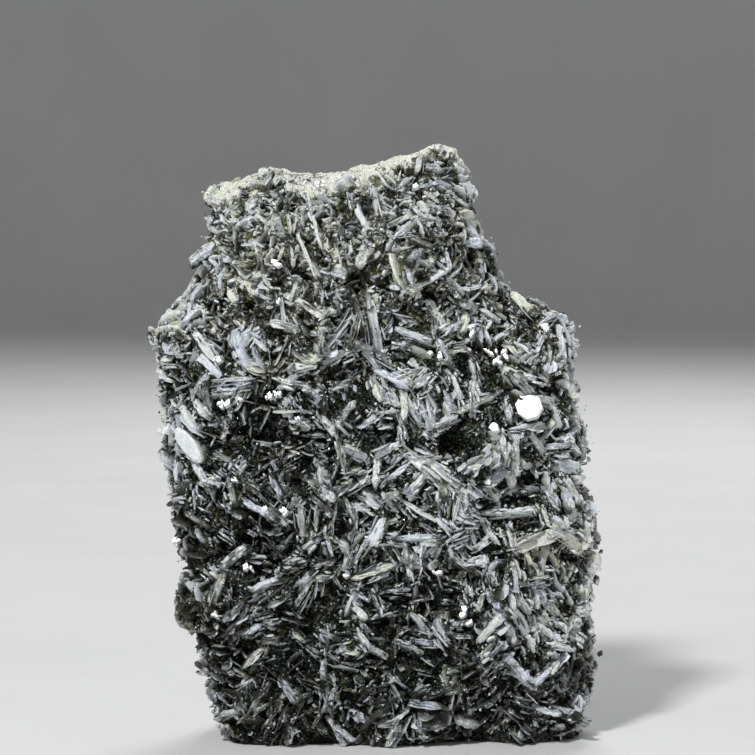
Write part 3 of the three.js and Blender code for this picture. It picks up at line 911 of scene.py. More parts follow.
# %% The blades' material
def milky_material(name, patches, mottling, streaks, dust_left, up_the_neck):
    material, tree, shader = new_material(
        name, IOR=QUARTZ_IOR, Subsurface_Weight=0.3, Subsurface_Radius=(1.0, 1.0, 0.95),
        Subsurface_Scale=0.0005,
    )
    place = object_place(tree)
    own = attribute(tree, "own_place")["Vector"]
    tone = attribute(tree, "tone")
    white, warm, chance = separate(tree, tone["Color"])
    depth = tone["Alpha"]
    roundness, cell = cells(tree, own, 2.6)
    stretched = node(tree, "ShaderNodeMapping", {"Vector": own, "Scale": (0.16, 1.0, 0.5)}).outputs["Vector"]
    # Towards its roots a blade is made darker, a painted shade of the gaps between blades, and towards its
    # free edge whiter, a painted highlight; the rest is its own whiteness, mottling, patches and streaks.
    milk_and_painted_light = add_shares(
        tree, ramp(tree, depth, [(0.2, 0.0), (0.5, 0.33), (0.7, 0.5)]), (white, 0.75),
        (less(tree, noise(tree, own, 0.7 * PER_MM, 4.0, 0.7), 0.5), mottling),
        (less(tree, noise(tree, place, 0.2 * PER_MM, 3.0, 0.6), 0.5), patches),
        (less(tree, noise(tree, stretched, 2.2 * PER_MM, 2.0), 0.5), streaks),
    )
    level = ramp(tree, milk_and_painted_light, [
        (0.25, (0.03, 0.031, 0.022)), (0.45, (0.13, 0.138, 0.115)), (0.62, (0.42, 0.44, 0.43)),
        (0.78, (0.78, 0.815, 0.825)), (0.92, (0.94, 0.97, 0.98)),
    ])
    tint = ramp(tree, chance, [
        (0.0, (0.86, 0.90, 0.99)), (0.35, (0.93, 0.95, 0.99)),
        (0.75, (0.95, 0.97, 0.97)), (1.0, (0.94, 0.97, 0.86)),
    ])
    # The stain is also made stronger towards the roots, which darkens them: partly stain, partly a painted
    # shade.
    settled = add_shares(tree, moss(tree, place, up_the_neck), (less(tree, 0.5, depth), 0.2))
    bloom = ramp(tree, settled, [
        (0.38, (0.88, 0.88, 1.0)), (0.48, (0.94, 0.95, 1.0)),
        (0.57, (0.92, 0.91, 0.82)), (0.68, (0.68, 0.62, 0.40)),
    ])
    stained = ramp(tree, milk_and_painted_light, [(0.5, 1.0), (0.9, 0.35)])
    body = mix(tree, stained, mix(tree, 1.0, tint, level, "MULTIPLY"), bloom, "MULTIPLY")
    warmed = mix(tree, warm, body, (0.86, 0.76, 0.46), "MULTIPLY")
    grainy = ramp(tree, cell[0], [(0.0, 1 - 0.4 * mottling), (0.45, 0.9), (0.8, 1.0)])
    dusty = less(tree, cell[1], maths(tree, "MULTIPLY", milk_and_painted_light, 0.75))
    dust = ramp(tree, dusty, [(0.40, 0.0), (0.45, dust_left)])
    colour = mix(tree, dust, mix(tree, 1.0, warmed, grainy, "MULTIPLY"), (0.022, 0.026, 0.018))
    tree.links.new(colour, shader.inputs["Base Color"])
    tree.links.new(ramp(tree, cell[2], [(0.2, 0.18), (0.8, 0.5)]), shader.inputs["Roughness"])
    bump(tree, shader, roundness, 0.0002, 0.5)
    return material


MILKY = milky_material(
    "milky quartz", patches=1.5, mottling=1.3, streaks=0.6, dust_left=0.92, up_the_neck=0.06,
)
CLEAR_MILKY = milky_material(
    "clear milky quartz", patches=0.9, mottling=0.5, streaks=0.25, dust_left=0.25, up_the_neck=0.0,
)
print("two finishes for the blades:", MILKY.name, "and", CLEAR_MILKY.name)

# %% [markdown]
# ## Where the large blades stand
#
# The clearest blades are placed one by one, by where they stand on the front, which way they run, how
# long and wide they are, and how white. All of them have a few thin companions that run beside them, as
# layers of one growth. The rest are scattered, evenly but at random angles, in little groups that share
# a direction, and so are the crystals that the solid has too, which stand where the solid's do.

# %% Where the blades of the front stand, in millimetres and degrees
SEEN_BLADES = [
    (-47, 105, -85, 8, 1.8, 0.3), (-52.5, 103.6, 32, 8, 2.2, 0.3), (-52, 101.2, 8, 8, 1.6, 0.3),
    (-43.6, 101.7, 0, 6.5, 0.9, 0.2), (-43, 97, -52, 9, 2.6, 0.3), (-41.5, 92, -38, 9, 2.6, 0.25),
    (-49.6, 95.3, -55, 5.5, 1.1, 0.35), (-52.3, 92, -4, 5, 0.8, 0.2), (-28.7, 98.8, -64, 7, 1.3, 0.25),
    (-32.8, 95.5, -84, 9, 2.8, 0), (-30, 91.3, -30, 6, 1.8, 0.2), (-33, 88, 0, 5, 2.4, 0.2),
    (-37.3, 84.7, 6, 6.5, 1.1, 0), (-33.8, 83.6, 48, 4.5, 1.2, 0.3), (-44, 86.8, 52, 6.5, 2, 0),
    (-43.8, 82, -48, 7, 2.4, 0.15), (-46.8, 79, -50, 10, 2.4, 0.3), (-22.2, 106.5, -75, 9.5, 2.2, 0.25),
    (-28.3, 110.4, -55, 6, 1.8, 0.15), (-39.4, 103.4, -55, 4, 2, 0), (-44.3, 105.6, -20, 5, 1.2, 0.15),
    (-39.3, 113.5, 86, 6, 1.8, 0.3), (-36.3, 113, 20, 3, 1.8, 0.4), (-46.2, 110, 70, 6, 2.2, 0.2),
    (-49, 106.8, -10, 4, 2, 0.25), (-35, 86.2, 4, 9, 0.9, 0.1), (-36, 88.3, 2, 10, 1, 0.15),
    (-33.6, 115.8, -58, 8.5, 2, 0.4), (-30.8, 111.5, -62, 6, 1.6, 0.35), (-19.5, 119.5, -70, 6, 1.8, 0.2),
    (-22.3, 120.5, 80, 4, 1.6, 0.25), (-16, 119.5, -60, 13, 2, 0.2), (-15.6, 133, -72, 9, 1.2, 0.4),
    (-13.8, 126.5, -76, 10, 1.8, 0.3), (-18.9, 128.7, -82, 4.5, 0.8, 0.4), (-17.4, 129, -78, 4, 0.8, 0.4),
    (-10.1, 130.8, -86, 5.5, 0.8, 0.2), (-28.4, 129, -55, 5.5, 2, 0.15), (-31, 131.8, 15, 4, 2, 0.1),
    (-32.5, 128, 10, 6, 1.6, 0), (-35.6, 124.5, -78, 7, 1.1, 0.15), (-8, 120, -84, 9.5, 1, 0.2),
    (-7.3, 125.5, -80, 4.5, 1.6, 0.15), (-32, 122.3, -15, 4, 1.4, 0.1), (-24.6, 124.5, -86, 6.5, 1.2, 0),
    (-20.5, 128, -65, 6, 1, 0.1), (-11, 134, -30, 5, 1.5, 0.05), (-13, 131.5, 60, 4, 1.2, 0.05),
    (-42.3, 123.8, -60, 4, 1.4, 0.25), (-42.5, 118, -40, 4.5, 1.5, 0.25), (-26, 119.5, 60, 5, 1, 0),
    (-29.3, 114.3, 0, 5, 1.3, 0.15), (-40, 129, -50, 6, 2, 0), (-37, 131, 20, 5, 1.6, 0),
    (-28, 135, -15, 6, 2, 0.1), (-23.5, 135.3, 60, 3.5, 1.4, 0.25), (-26, 133.2, -30, 5, 1.4, 0.1),
    (-3.3, 130.5, -72, 9, 2.7, 0.3), (-1, 123, -66, 6, 0.9, 0.3), (1.4, 134, -86, 9, 1, 0.4),
    (2.2, 139.5, -68, 6, 1.3, 0.25), (-2.3, 140, -78, 5, 2.2, 0.4), (0.3, 135.6, -60, 3.5, 1.2, 0.4),
    (4.4, 132.3, -48, 4, 0.8, 0.1), (7, 128.4, 5, 8, 2.4, 0.15), (6.5, 125.2, 30, 10.5, 1.6, 0.3),
    (12, 123.3, -40, 7, 2.2, 0.2), (7.5, 121.6, -4, 6, 1.2, 0.1), (5.8, 116, -84, 9, 1.8, 0.3),
    (9, 115.5, -88, 8.5, 1.8, 0.25), (12.6, 118.5, -48, 7, 1.5, 0.2), (15, 113.2, 15, 13, 1.8, 0.35),
    (19.5, 118.2, -55, 5.5, 2, 0.25), (21.8, 115.5, 78, 6, 1.2, 0.25), (12.9, 132, -76, 5, 1.5, 0.2),
    (14.9, 134.6, -62, 5, 1.4, 0.15), (15.2, 129, -32, 5, 1.4, 0.25), (22.6, 133.2, 10, 5.5, 1.7, 0.4),
    (23.2, 135.9, -12, 4, 0.8, 0.3), (12, 127.3, -85, 6, 1.1, 0.2), (27.6, 125.5, -62, 9, 2.2, 0.2),
    (22, 127.8, 30, 4, 1.8, 0.1), (16.3, 121.8, 10, 4.5, 2, 0.05), (-3.6, 119.6, 14, 6, 1.3, 0.25),
    (-2.8, 124.5, -30, 3, 1.5, 0.15), (15.4, 137.8, -5, 7, 1.6, 0.1), (12, 143.5, 60, 6, 2.4, 0.2),
    (20, 141.5, 30, 5, 1.2, 0.15), (23, 141.2, -5, 4.5, 1.4, 0.4), (23.8, 139.2, 5, 3, 1.4, 0.4),
    (8.2, 138, 20, 4, 1.6, 0.05), (4.8, 138.8, -65, 4, 1.4, 0.1), (10.8, 131.2, -70, 5, 1.4, 0.1),
    (17.3, 131.5, -50, 4, 1.6, 0.1), (25, 136.5, -70, 4, 1.2, 0.3), (-16.5, 107.6, -28, 8.5, 2.6, 0.3),
    (-8, 100.2, 46, 9, 1, 0.2), (-17, 93.8, -22, 6.5, 2, 0.4), (-19.8, 90.8, 40, 4, 2.4, 0.35),
    (-18.5, 87.8, -10, 8, 1.6, 0.4), (-14.5, 85.2, -52, 6.5, 1.5, 0.35), (-16, 91.3, 20, 6, 1.4, 0.15),
    (-8.5, 94.3, 22, 10, 2.2, -0.15), (-5.5, 95.8, 18, 6, 0.8, 0.1), (-3.2, 98, -40, 8.5, 2, 0.25),
    (0, 93.3, -62, 6.5, 1.5, 0.2), (4.6, 89.4, -42, 10, 2.4, 0.35), (7.5, 89, -38, 7, 2.6, 0.15),
    (-7.9, 86.6, 12, 5, 1, 0.1), (4.7, 105.7, -8, 5.5, 1, 0.1), (9.5, 103.3, -34, 7, 1.2, 0.2),
    (11, 99.7, -35, 11, 2.4, 0.4), (-3, 104.5, -88, 9, 2.7, 0), (0.8, 103, -88, 14, 3.2, 0.4),
    (1.8, 107.6, 64, 4.5, 1.6, 0.35), (1.9, 98.8, -89, 8, 1, 0.25), (3.6, 80.2, -3, 8, 1, 0.2),
    (8, 77.3, -82, 8, 1.1, 0.1), (10.8, 80.5, -74, 12, 2.2, 0.35), (13.8, 79, -76, 8, 1.8, 0.15),
    (-11.3, 77.3, -55, 8, 2.4, 0.3), (-8, 76.8, -50, 6, 1.2, 0.2), (8.5, 97.3, -20, 4, 2.7, 0.15),
    (11.3, 92.3, -70, 5, 1.4, 0.35), (10, 90.5, 8, 5, 0.9, 0.25), (-12.5, 98.8, 85, 5, 1.8, 0.1),
    (-11.5, 101.4, -10, 3.5, 1, 0.4), (-9.5, 110.6, 15, 7, 1.2, 0.25), (-8.4, 110, -62, 6, 1.3, 0.15),
    (-17, 101.5, -50, 5, 1, 0.15), (3.8, 100.5, 40, 5, 0.8, 0.05), (13, 88.3, 30, 5, 2, 0.1),
    (6, 83, -60, 4, 1.5, 0), (-10.5, 106.3, 40, 4, 1.2, 0.2), (-19.5, 110.5, 80, 6, 1.4, 0.1),
    (-0.7, 78, 30, 5.2, 1.6, 0.35), (1.3, 85.7, -78, 5, 2, 0.1), (16.8, 105, -72, 8, 2.6, 0.3),
    (20.6, 106.6, 56, 5.5, 1.2, 0.3), (21.2, 102.3, 52, 8, 1.2, 0.15), (24.1, 102.6, -82, 5.5, 1.8, 0.35),
    (28, 102, -22, 5.5, 0.9, 0.3), (29.9, 106.7, -76, 5, 0.9, 0.35), (31.7, 104.3, -33, 6.5, 2, 0.15),
    (18.2, 96.3, -54, 8, 1.3, 0.2), (21.6, 95.7, 36, 5, 1.2, 0.3), (25.7, 94.6, -44, 8, 1.7, 0.35),
    (26, 91, -76, 6, 1.2, 0.15), (36.3, 96, -44, 7, 1.8, 0.2), (38, 97.1, -28, 6.5, 1.3, 0.2),
    (39, 94.4, 45, 3.5, 0.8, 0.3), (42.8, 97.3, 66, 5.5, 1.3, 0.15), (36.5, 90.3, -18, 10, 2, 0.35),
    (39, 89.2, -6, 5, 0.8, 0.3), (44.8, 92.5, 76, 8, 1.1, 0.3), (43.8, 88.4, -32, 4, 1.8, 0.3),
    (48.6, 96.5, -86, 11, 1.3, 0.35), (47, 91.8, 40, 3.5, 1.2, 0.3), (21.8, 86.1, -44, 7, 1.8, 0.35),
    (26.2, 82.3, 26, 11, 1.8, 0.35), (28.5, 83.8, 15, 7, 1.4, 0.25), (19.7, 80.6, -54, 5, 1.3, 0.25),
    (19, 78, 36, 6, 1.2, 0.25), (14.8, 80, -88, 8.5, 1.2, 0.2), (34.4, 80.6, -75, 5.5, 2, 0),
    (40, 76.8, 6, 9.5, 1.1, 0.35), (43.5, 83, -14, 7, 1.6, 0.1), (47.7, 79, -68, 6.5, 1.3, 0.2),
    (51.6, 85.5, -66, 7, 2.6, 0.3), (53.4, 78.4, -70, 4, 2, 0.2), (40.7, 107.8, -55, 8, 3.6, 0.35),
    (45.2, 103.4, 28, 5.5, 1.3, 0.3), (30, 99, -75, 6, 1.5, 0.1), (33.5, 99.3, 30, 6, 2, 0.1),
    (28.4, 99.6, -80, 5, 1, 0.15), (26.5, 111.3, 10, 6, 1.4, 0.2), (28.3, 110.5, 45, 7, 1, 0.1),
    (22.3, 111.5, -8, 6, 1.6, 0.2), (37.8, 112.8, -60, 5, 1.6, 0.15), (27.3, 85.8, -70, 4, 1.2, 0.1),
    (51, 91, -80, 5, 2, 0.15), (52, 97, -80, 6, 2, 0.1), (50.8, 102, -45, 5, 1.6, 0.15),
    (-7.6, 71, -80, 11, 1.5, 0.15), (-3.6, 69.7, -28, 8, 2.4, 0.4), (4, 70.6, 20, 7, 2, 0.25),
    (6.8, 68.3, 36, 4, 0.9, 0.4), (12.6, 66.6, -46, 11, 2.6, 0.35), (15.4, 67.8, -34, 9, 1.8, 0.25),
    (6.2, 64.6, 26, 7, 1.6, 0.15), (10.8, 61.6, 50, 8, 1.7, 0.25), (-7.2, 60, 24, 7.5, 1.3, 0.25),
    (-1.6, 63, 30, 4, 0.9, 0.15), (-13.6, 60.9, -34, 6.5, 1.8, 0.25), (-12.3, 56.8, -38, 8, 2.2, 0.35),
    (-9.3, 54.6, 80, 9, 0.9, 0.15), (-5.2, 55, -68, 9, 1.6, 0.25), (-3.2, 56, -20, 5, 2.4, 0.1),
    (-0.5, 57.8, -48, 6, 2.4, 0.2), (3.8, 58.3, -55, 4.5, 1.3, 0.2), (10.5, 56.2, -36, 13, 1.3, 0.2),
    (1.4, 50.3, 58, 8, 3.4, 0.4), (-2.8, 45.3, 58, 8, 1.4, 0.2), (-6, 47.5, 40, 6.5, 1.3, 0.2),
    (-3.9, 51, 84, 8, 1, 0.15), (-17.8, 53.5, -80, 10, 2.2, 0.2), (-13.9, 53, 86, 7, 1.2, 0.2),
    (-11, 47.3, -74, 7.5, 1.1, 0.25), (-8.4, 47.7, -58, 4, 0.8, 0.4), (-15.7, 46.9, 32, 6, 1.2, 0.25),
    (9.7, 48.7, -2, 13.5, 2, 0.35), (7, 46.7, -12, 5, 0.8, 0.2), (9.1, 43.8, -87, 8, 1, 0.15),
    (12.5, 43.7, 80, 8, 1.1, 0.2), (5.2, 44.5, -72, 6, 1, 0.1), (6.9, 44, -60, 6, 1, 0.15),
    (0.5, 39.8, 18, 12, 1.9, 0.2), (2.6, 38.8, 24, 6, 1.2, 0.35), (-6.6, 42, 68, 5.5, 1.3, 0.4),
    (15, 45.7, 36, 6, 0.8, 0.15), (-28, 72.7, -35, 5, 2.2, 0.2), (-24, 71.5, -14, 9.5, 1.8, 0.35),
    (-20.5, 73.8, -5, 7, 1.4, 0.2), (-23.6, 60.3, -56, 7, 1.9, 0.3), (-23.6, 53.6, -46, 7, 1.8, 0.35),
    (-42.8, 52.7, -30, 8, 1.8, 0.1), (-25.1, 49.3, 22, 4, 1.1, 0.3), (-42.8, 64.4, -60, 8, 2.4, 0.05),
    (-40, 62.2, -20, 4.5, 2, 0.1), (-41.3, 61.3, -42, 4, 0.8, 0.35), (-48.6, 65.2, -76, 7, 1.7, 0.25),
    (-51.8, 74, -74, 6, 2, 0.25), (-35.2, 60, -74, 7, 2.3, 0), (-38.2, 68.5, -25, 5, 2, 0.15),
    (-34.4, 66.2, -45, 3.5, 1, 0.4), (-32.8, 66.6, 60, 3, 0.8, 0.3), (-25, 45.5, -46, 8, 0.8, 0),
    (-29.2, 43.3, -14, 5, 1.2, 0.1), (-42.7, 48.8, -60, 4.5, 1.6, 0.05), (-36.8, 48.8, -38, 4.5, 0.8, 0.1),
    (-35, 43.2, 40, 5, 0.8, 0.1), (-30.3, 62, -40, 4, 1.2, 0.1), (-48, 58, -10, 5, 1, -0.05),
    (-43.7, 58.8, -82, 4.5, 0.8, 0.2), (-19.8, 57, 60, 4, 1.8, 0.15), (-12.6, 64.5, -85, 5, 1.8, 0.05),
    (-12.7, 67.5, -85, 4, 0.8, 0.25), (-20, 42.5, 20, 5, 1.2, 0.2), (-4, 65.4, 2, 5, 1.2, 0.1),
    (2.2, 62.7, 20, 4, 1, 0.3), (-12, 41.8, 15, 6, 1, 0),
    (19, 64, -25, 12.5, 1.8, 0.3), (17.6, 69.6, 6, 6, 1.2, 0.25), (26.7, 67.6, 32, 7, 1.8, 0.1),
    (28.9, 69, 46, 3, 0.7, 0.4), (36.6, 70.5, -84, 9, 1.8, 0.25), (43.4, 71.8, -50, 10, 2.2, 0.4),
    (48.5, 71.2, 5, 7, 2, 0.3), (52.2, 73.8, 38, 7, 2.2, 0.25), (50.8, 65.8, -10, 7, 4.4, 0.35),
    (32, 63.4, 32, 6, 2.2, 0.2), (33.8, 67.5, -80, 7, 1.7, 0.15), (19.1, 59.4, -88, 9, 1, 0.25),
    (21.4, 56.5, -84, 10.5, 1.3, 0.35), (23.3, 58, -52, 7.5, 1.9, 0.2), (24, 55.2, -15, 5, 1.6, 0.35),
    (31.5, 54.6, -1, 15, 1.2, 0.4), (37.8, 55.2, 4, 8, 2, 0.35), (25.8, 53.2, -5, 7, 1, 0.2),
    (41.2, 48.4, 20, 12, 3.9, 0.7), (50.6, 47.2, -34, 12, 4.1, 0.7), (46, 49.6, 5, 6, 3, 0.7),
    (46.6, 52.6, -40, 5, 1.6, 0.25),
    (55, 48.3, 75, 6, 4, 0.3), (19.2, 48, 42, 10, 1.1, 0.25), (21.8, 47.6, 42, 7, 1, 0.2),
    (26.8, 43, 12, 5.5, 3.4, 0.4), (28, 46.8, 30, 5, 2, 0.1), (34.6, 48.6, -64, 7, 1.3, 0.15),
    (39.5, 42.8, -60, 6.5, 1.6, 0.2), (46.5, 42.4, -52, 6, 1.3, 0.2), (42.2, 38.7, 3, 6.5, 1.1, 0.4),
    (41.5, 37.2, 3, 6, 1, 0.3), (47.5, 36.3, -50, 7, 1.2, 0.3), (50.8, 38.2, 50, 5, 1.2, 0.1),
    (51.3, 54.5, -80, 5, 1.8, 0.15), (45.2, 58.5, -62, 7, 1.1, 0.2), (51, 60, -70, 7, 2.4, 0.15),
    (45.5, 62.5, -80, 6, 1.2, 0.1), (30.1, 41.3, 68, 4, 0.9, 0.35), (53, 70.5, -60, 5, 2, 0.1),
    (54.3, 56.5, -70, 5, 2, 0), (43.5, 54.3, -70, 5, 1.5, 0.1), (29.5, 51, -60, 6, 1.6, 0.1),
    (25.5, 49.5, -70, 5, 1.6, 0.1), (18, 52, -40, 5, 1.6, 0.15), (36.5, 60.5, 20, 5, 1.6, 0.1),
    (39.5, 66.5, -15, 6, 2.7, 0.1), (31.5, 59, -60, 3, 1.6, 0.35), (37, 64.5, 0, 4, 2.4, 0.05),
    (41, 60.5, 0, 5, 1.5, 0), (33, 72.5, -80, 5, 2, 0), (17, 58, -84, 6, 1.4, 0.1),
    (-37.6, 35.6, 70, 9, 2.6, 0.15), (-38.5, 39.2, -35, 4, 1.6, 0.35), (-42.8, 35, -62, 5, 0.9, 0.4),
    (-34, 30.3, 38, 7.5, 2.4, 0), (-32.6, 28.3, 52, 8.5, 1.3, 0.1), (-30.5, 24.6, 16, 7, 1.1, 0.25),
    (-26, 26.9, 0, 3.5, 2.2, 0.15), (-27.5, 36.6, 18, 7.5, 2, 0.3), (-29, 33.3, 20, 5, 1, 0.2),
    (-24.6, 31.8, 24, 9, 1.1, -0.05), (-26, 22, 0, 5, 2.6, 0), (-17.3, 34, 66, 10.5, 2, 0.35),
    (-17.3, 37.3, 50, 5, 2.7, 0.35), (-20.2, 40.4, 12, 5.5, 1.2, 0.1), (-12.6, 38.4, 0, 4, 1.5, 0.2),
    (-5.3, 32, 68, 6.5, 1.6, 0.15), (-2.5, 33.7, -30, 5, 1.2, 0.1), (-3, 30, -50, 5, 2.4, 0.05),
    (-1.6, 22.8, -60, 5, 2, 0.3), (-5, 20, -10, 4, 1.6, 0.3), (-8, 20.6, 30, 3.5, 1.6, 0.2),
    (1.3, 32.2, -78, 6, 1.3, -0.05), (3.4, 29.1, 8, 5, 1, 0.25), (-15, 20, -20, 4, 1.5, 0.25),
    (-34.5, 22.5, 70, 4.5, 1, 0.1), (-18.5, 22.5, -40, 4, 1.4, 0.1), (-8.5, 36.5, -60, 5, 1, 0.15),
    (-40.5, 31.5, -60, 5, 1.4, 0.05), (-11.5, 23, -60, 5, 1.4, -0.05), (6.2, 35, 0, 7.5, 1.3, 0.3),
    (12.6, 26.8, -54, 7.5, 2.2, 0.1), (13.5, 22, -10, 5, 2, 0.05), (17.2, 23.3, -50, 7.5, 0.7, 0.4),
    (18.3, 23.8, -50, 6, 0.6, 0.35), (22, 27, 20, 4, 1.4, 0.4), (29.2, 26.2, 50, 9, 2.7, 0.35),
    (31.5, 29.3, -45, 3.5, 2, 0.3), (28.5, 20.5, 62, 6.5, 1.1, 0.3), (37.5, 27.5, -52, 11, 3.4, 0.4),
    (35, 32.5, -82, 6, 1.4, 0.1), (38.8, 31.5, -45, 7, 1.8, 0.25), (41.7, 33.3, -84, 6, 1.1, 0.15),
    (44, 32, -84, 7.5, 1, 0.2), (46.6, 29.7, -58, 6, 1.1, 0.3), (50.6, 33.3, -58, 7, 1, 0.2),
    (46.8, 34, 0, 4.5, 0.9, 0.25), (44.8, 25.3, -44, 8.5, 2.2, 0.3), (50.5, 24.3, -40, 9, 2.2, 0.3),
    (54.6, 28.6, 0, 4, 2.2, 0.25), (39.6, 40.8, -82, 6, 1.8, 0.2), (36, 38.5, -86, 8, 1.4, 0.05),
    (30.2, 39, -75, 4, 1.8, 0.1), (9.8, 40, -85, 5, 2, 0.15), (24, 36.7, -60, 4, 0.7, 0.3),
    (27, 32.5, 70, 5, 2, 0.1), (41, 27, -80, 5, 1.6, 0.2), (48, 21, -20, 6, 2, 0.1),
    (40.5, 22.5, -70, 4, 1, 0.3), (10, 21, -30, 5, 1.4, 0), (55.5, 35, 75, 6, 1.5, 0.2),
    (43.5, 28.5, -70, 4, 1.5, 0.1),
    (-45.5, 71.5, -47, 11.5, 4.8, 0.3),
]  # x, z, angle, length, width and whiteness
print(len(SEEN_BLADES), "blades are placed one by one")

# %% How a crystal stands on the skin
def blade_depth(width):
    return np.clip(6 - width, 1.8, 4.5)


def stand(place, angle, lean, length, width, depth, shift=0.0, sink=0.0, roll=0.0, shade=0.0):
    """Crystals on the skin: angle is the way they run in it, and lean how steeply they rise, in radians."""
    point, around, up, out = place
    angle = np.asarray(angle, float)[:, None]
    lean = np.asarray(lean, float)[:, None]
    along = (around * np.cos(angle) + up * np.sin(angle)) * np.cos(lean) + out * np.sin(lean)
    side = unit(np.cross(along, out))
    facing = np.cross(side, along)
    side, facing = turned(side, facing, np.asarray(roll).reshape(-1, 1))
    middle = point + along * np.asarray(shift).reshape(-1, 1) - out * np.asarray(sink).reshape(-1, 1)
    size = np.stack([length, width, depth], 1)
    shade = np.broadcast_to(shade, len(size))
    return {"middle": middle, "along": along, "side": side, "facing": facing, "size": size, "shade": shade}


def join(groups):
    return {key: np.concatenate([group[key] for group in groups]) for key in groups[0]}

# %% Lay thinner crystals on the wide ones
LAYER_WIDTH = 2.1


def bundle(crystals, rng):
    """Lays thinner crystals on each wide one, nearly flush, which fray its edges and its ends."""
    layers = np.clip(np.round(crystals["size"][:, 1] / LAYER_WIDTH), 1, 5).astype(int)
    many = layers.sum()
    split = picked(crystals, np.repeat(np.arange(len(layers)), layers))
    split["tone"][:, 0] = np.clip(split["tone"][:, 0] + rng.normal(0, 0.06, many), 0, 1)
    on_top = np.concatenate([np.arange(n) > 0 for n in layers])
    fan = np.where(on_top, rng.normal(0, 0.06, many), 0)[:, None]
    along, side = split["along"], split["side"]
    aside = on_top * rng.uniform(-0.36, 0.36, many) * split["size"][:, 1]
    slide = on_top * rng.normal(0, 0.13, many) * split["size"][:, 0]
    raised = np.where(on_top, rng.uniform(-0.4, 0.1, many), 0)
    for direction, amount in ((side, aside), (along, slide), (split["facing"], raised)):
        split["middle"] = split["middle"] + direction * amount[:, None]
    split["along"], split["side"] = turned(along, side, fan)
    split["size"] = split["size"] * np.where(on_top[:, None], np.stack([
        rng.uniform(0.5, 0.95, many), rng.uniform(0.25, 0.6, many), rng.uniform(0.9, 1, many),
    ], 1), 1)
    return split

# %% Read the table of blades
VIEW_MIDDLE = (1.6, 89.4)
NEARER = 0.971  # the front is nearer to the eye than the slab's middle, so a front view shows it larger
LOWER = 1.4  # and, from a little above, lower
BROAD = 4.6  # a crystal that is wider than this shows its face, and is modelled as a tablet
TABLET_DEPTH = 2.4
INTO_NECK = [98, 108]  # blades get thinner and whiter between these heights


def off_front_view(x, z):
    """The places on the skin that a front view shows at x and z."""
    x0, z0 = VIEW_MIDDLE
    return x0 + (x - x0) * NEARER, z0 + (z - z0) * NEARER + LOWER


def seen_blades(rng, broad):
    """The blades of the table: the tablets, or the rest."""
    x, z, angle, length, width, shade = np.array([row for row in SEEN_BLADES if (row[4] > BROAD) == broad]).T
    many = len(x)
    width = width * np.interp(z, INTO_NECK, [0.86, 0.64])
    shade = shade + np.interp(z, INTO_NECK, [0, 1]) * (0.8 * shade + 0.02)
    x, z = off_front_view(x, z)
    depth = np.full(many, TABLET_DEPTH) if broad else blade_depth(width)
    return stand(front_frame(x, z), np.radians(angle), rng.normal(0.04, 0.07, many), length, width, depth, 0,
                 depth * rng.uniform(-0.08, 0.12, many), rng.normal(0, 0.2, many), shade)


def beside_blades(x, z):
    """How far places of the front are from the nearest blade of the table."""
    x0, z0, angle, length, width, _ = np.array(SEEN_BLADES).T
    x0, z0 = off_front_view(x0, z0)
    way = np.radians(angle)
    right, up = x[:, None] - x0, z[:, None] - z0
    beyond = np.maximum(np.abs(right * np.cos(way) + up * np.sin(way)) - length / 2, 0)
    aside = np.maximum(np.abs(up * np.cos(way) - right * np.sin(way)) - width / 2, 0)
    return np.hypot(beyond, aside).min(1)

# %% Keep the scattered blades out of the way of the placed ones
def duck_under(crystals, down):
    """Crystals of the front that would cross a blade of the table, or hide the neck, are set deeper."""
    crossing = np.zeros(len(crystals["middle"]), bool)
    for share in (-0.35, 0, 0.35):
        point = crystals["middle"] + crystals["along"] * crystals["size"][:, :1] * share
        crossing |= beside_blades(point[:, 0], point[:, 2]) < 0.3
        crossing |= (crust_share(point) > 0.75) | (point[:, 2] > NECK)
    crossing &= crystals["facing"][:, 1] < -0.3
    crystals["middle"] = crystals["middle"] - crystals["facing"] * (crossing * down)[:, None]
    return crystals

# %% The scattered crystals that the solid has too
SOLID_CORNERS_DRAWN = 44 * 24  # numbers that the solid draws for its own corners, before its crystals
SCATTERED = [
    (53, WITHIN_FRONT, WALL, (7, 12), (18, 50)), (13, LEFT_SIDE, WALL, (5, 9), (8, 30)),
    (13, RIGHT_SIDE, WALL, (5, 9), (8, 30)), (18, (0.1, 0.4), (0.04, 0.95), (7, 12), (12, 40)),
    (11, (0.5, 1), (0.97, 0.995), (4, 8), (10, 50)),
]  # how many, on which stretch of girth and height, how long, and how steeply they stand
SCATTERED_WIDTH = (1.6, 3.4)
SUNK = 0.3  # share of their length that is under the surface
EVEN_STEPS = (0.754877666, 0.569840291)  # steps that spread points evenly over a rectangle


def solid_blades():
    """The scattered crystals that the solid has too: the same numbers are drawn in the same order."""
    for _ in range(SOLID_CORNERS_DRAWN):
        random()
    rows = []
    for count, girth, rise, length, lean in SCATTERED:
        for i in range(count):
            evenly = [(0.5 + step * i) % 1 for step in EVEN_STEPS]
            turn = 2 * np.pi * random()
            leaning = np.radians(lerp(*lean, random()))
            size = lerp(*length, random())
            width = lerp(*SCATTERED_WIDTH, random())
            rows.append((lerp(*girth, evenly[0]), lerp(*rise, evenly[1]), turn, leaning, size, width))
    girth, rise, turn, leaning, size, width = np.array(rows).T
    return stand(skin_frame(girth, rise), turn, leaning, size, width, blade_depth(width), size * (0.5 - SUNK))

# %% Companions, and blades on the crown
def along_and_aside(along, aside, way):
    """A step along a direction and a step aside of it, as one step to the right and one up."""
    return along * np.cos(way) - aside * np.sin(way), along * np.sin(way) + aside * np.cos(way)


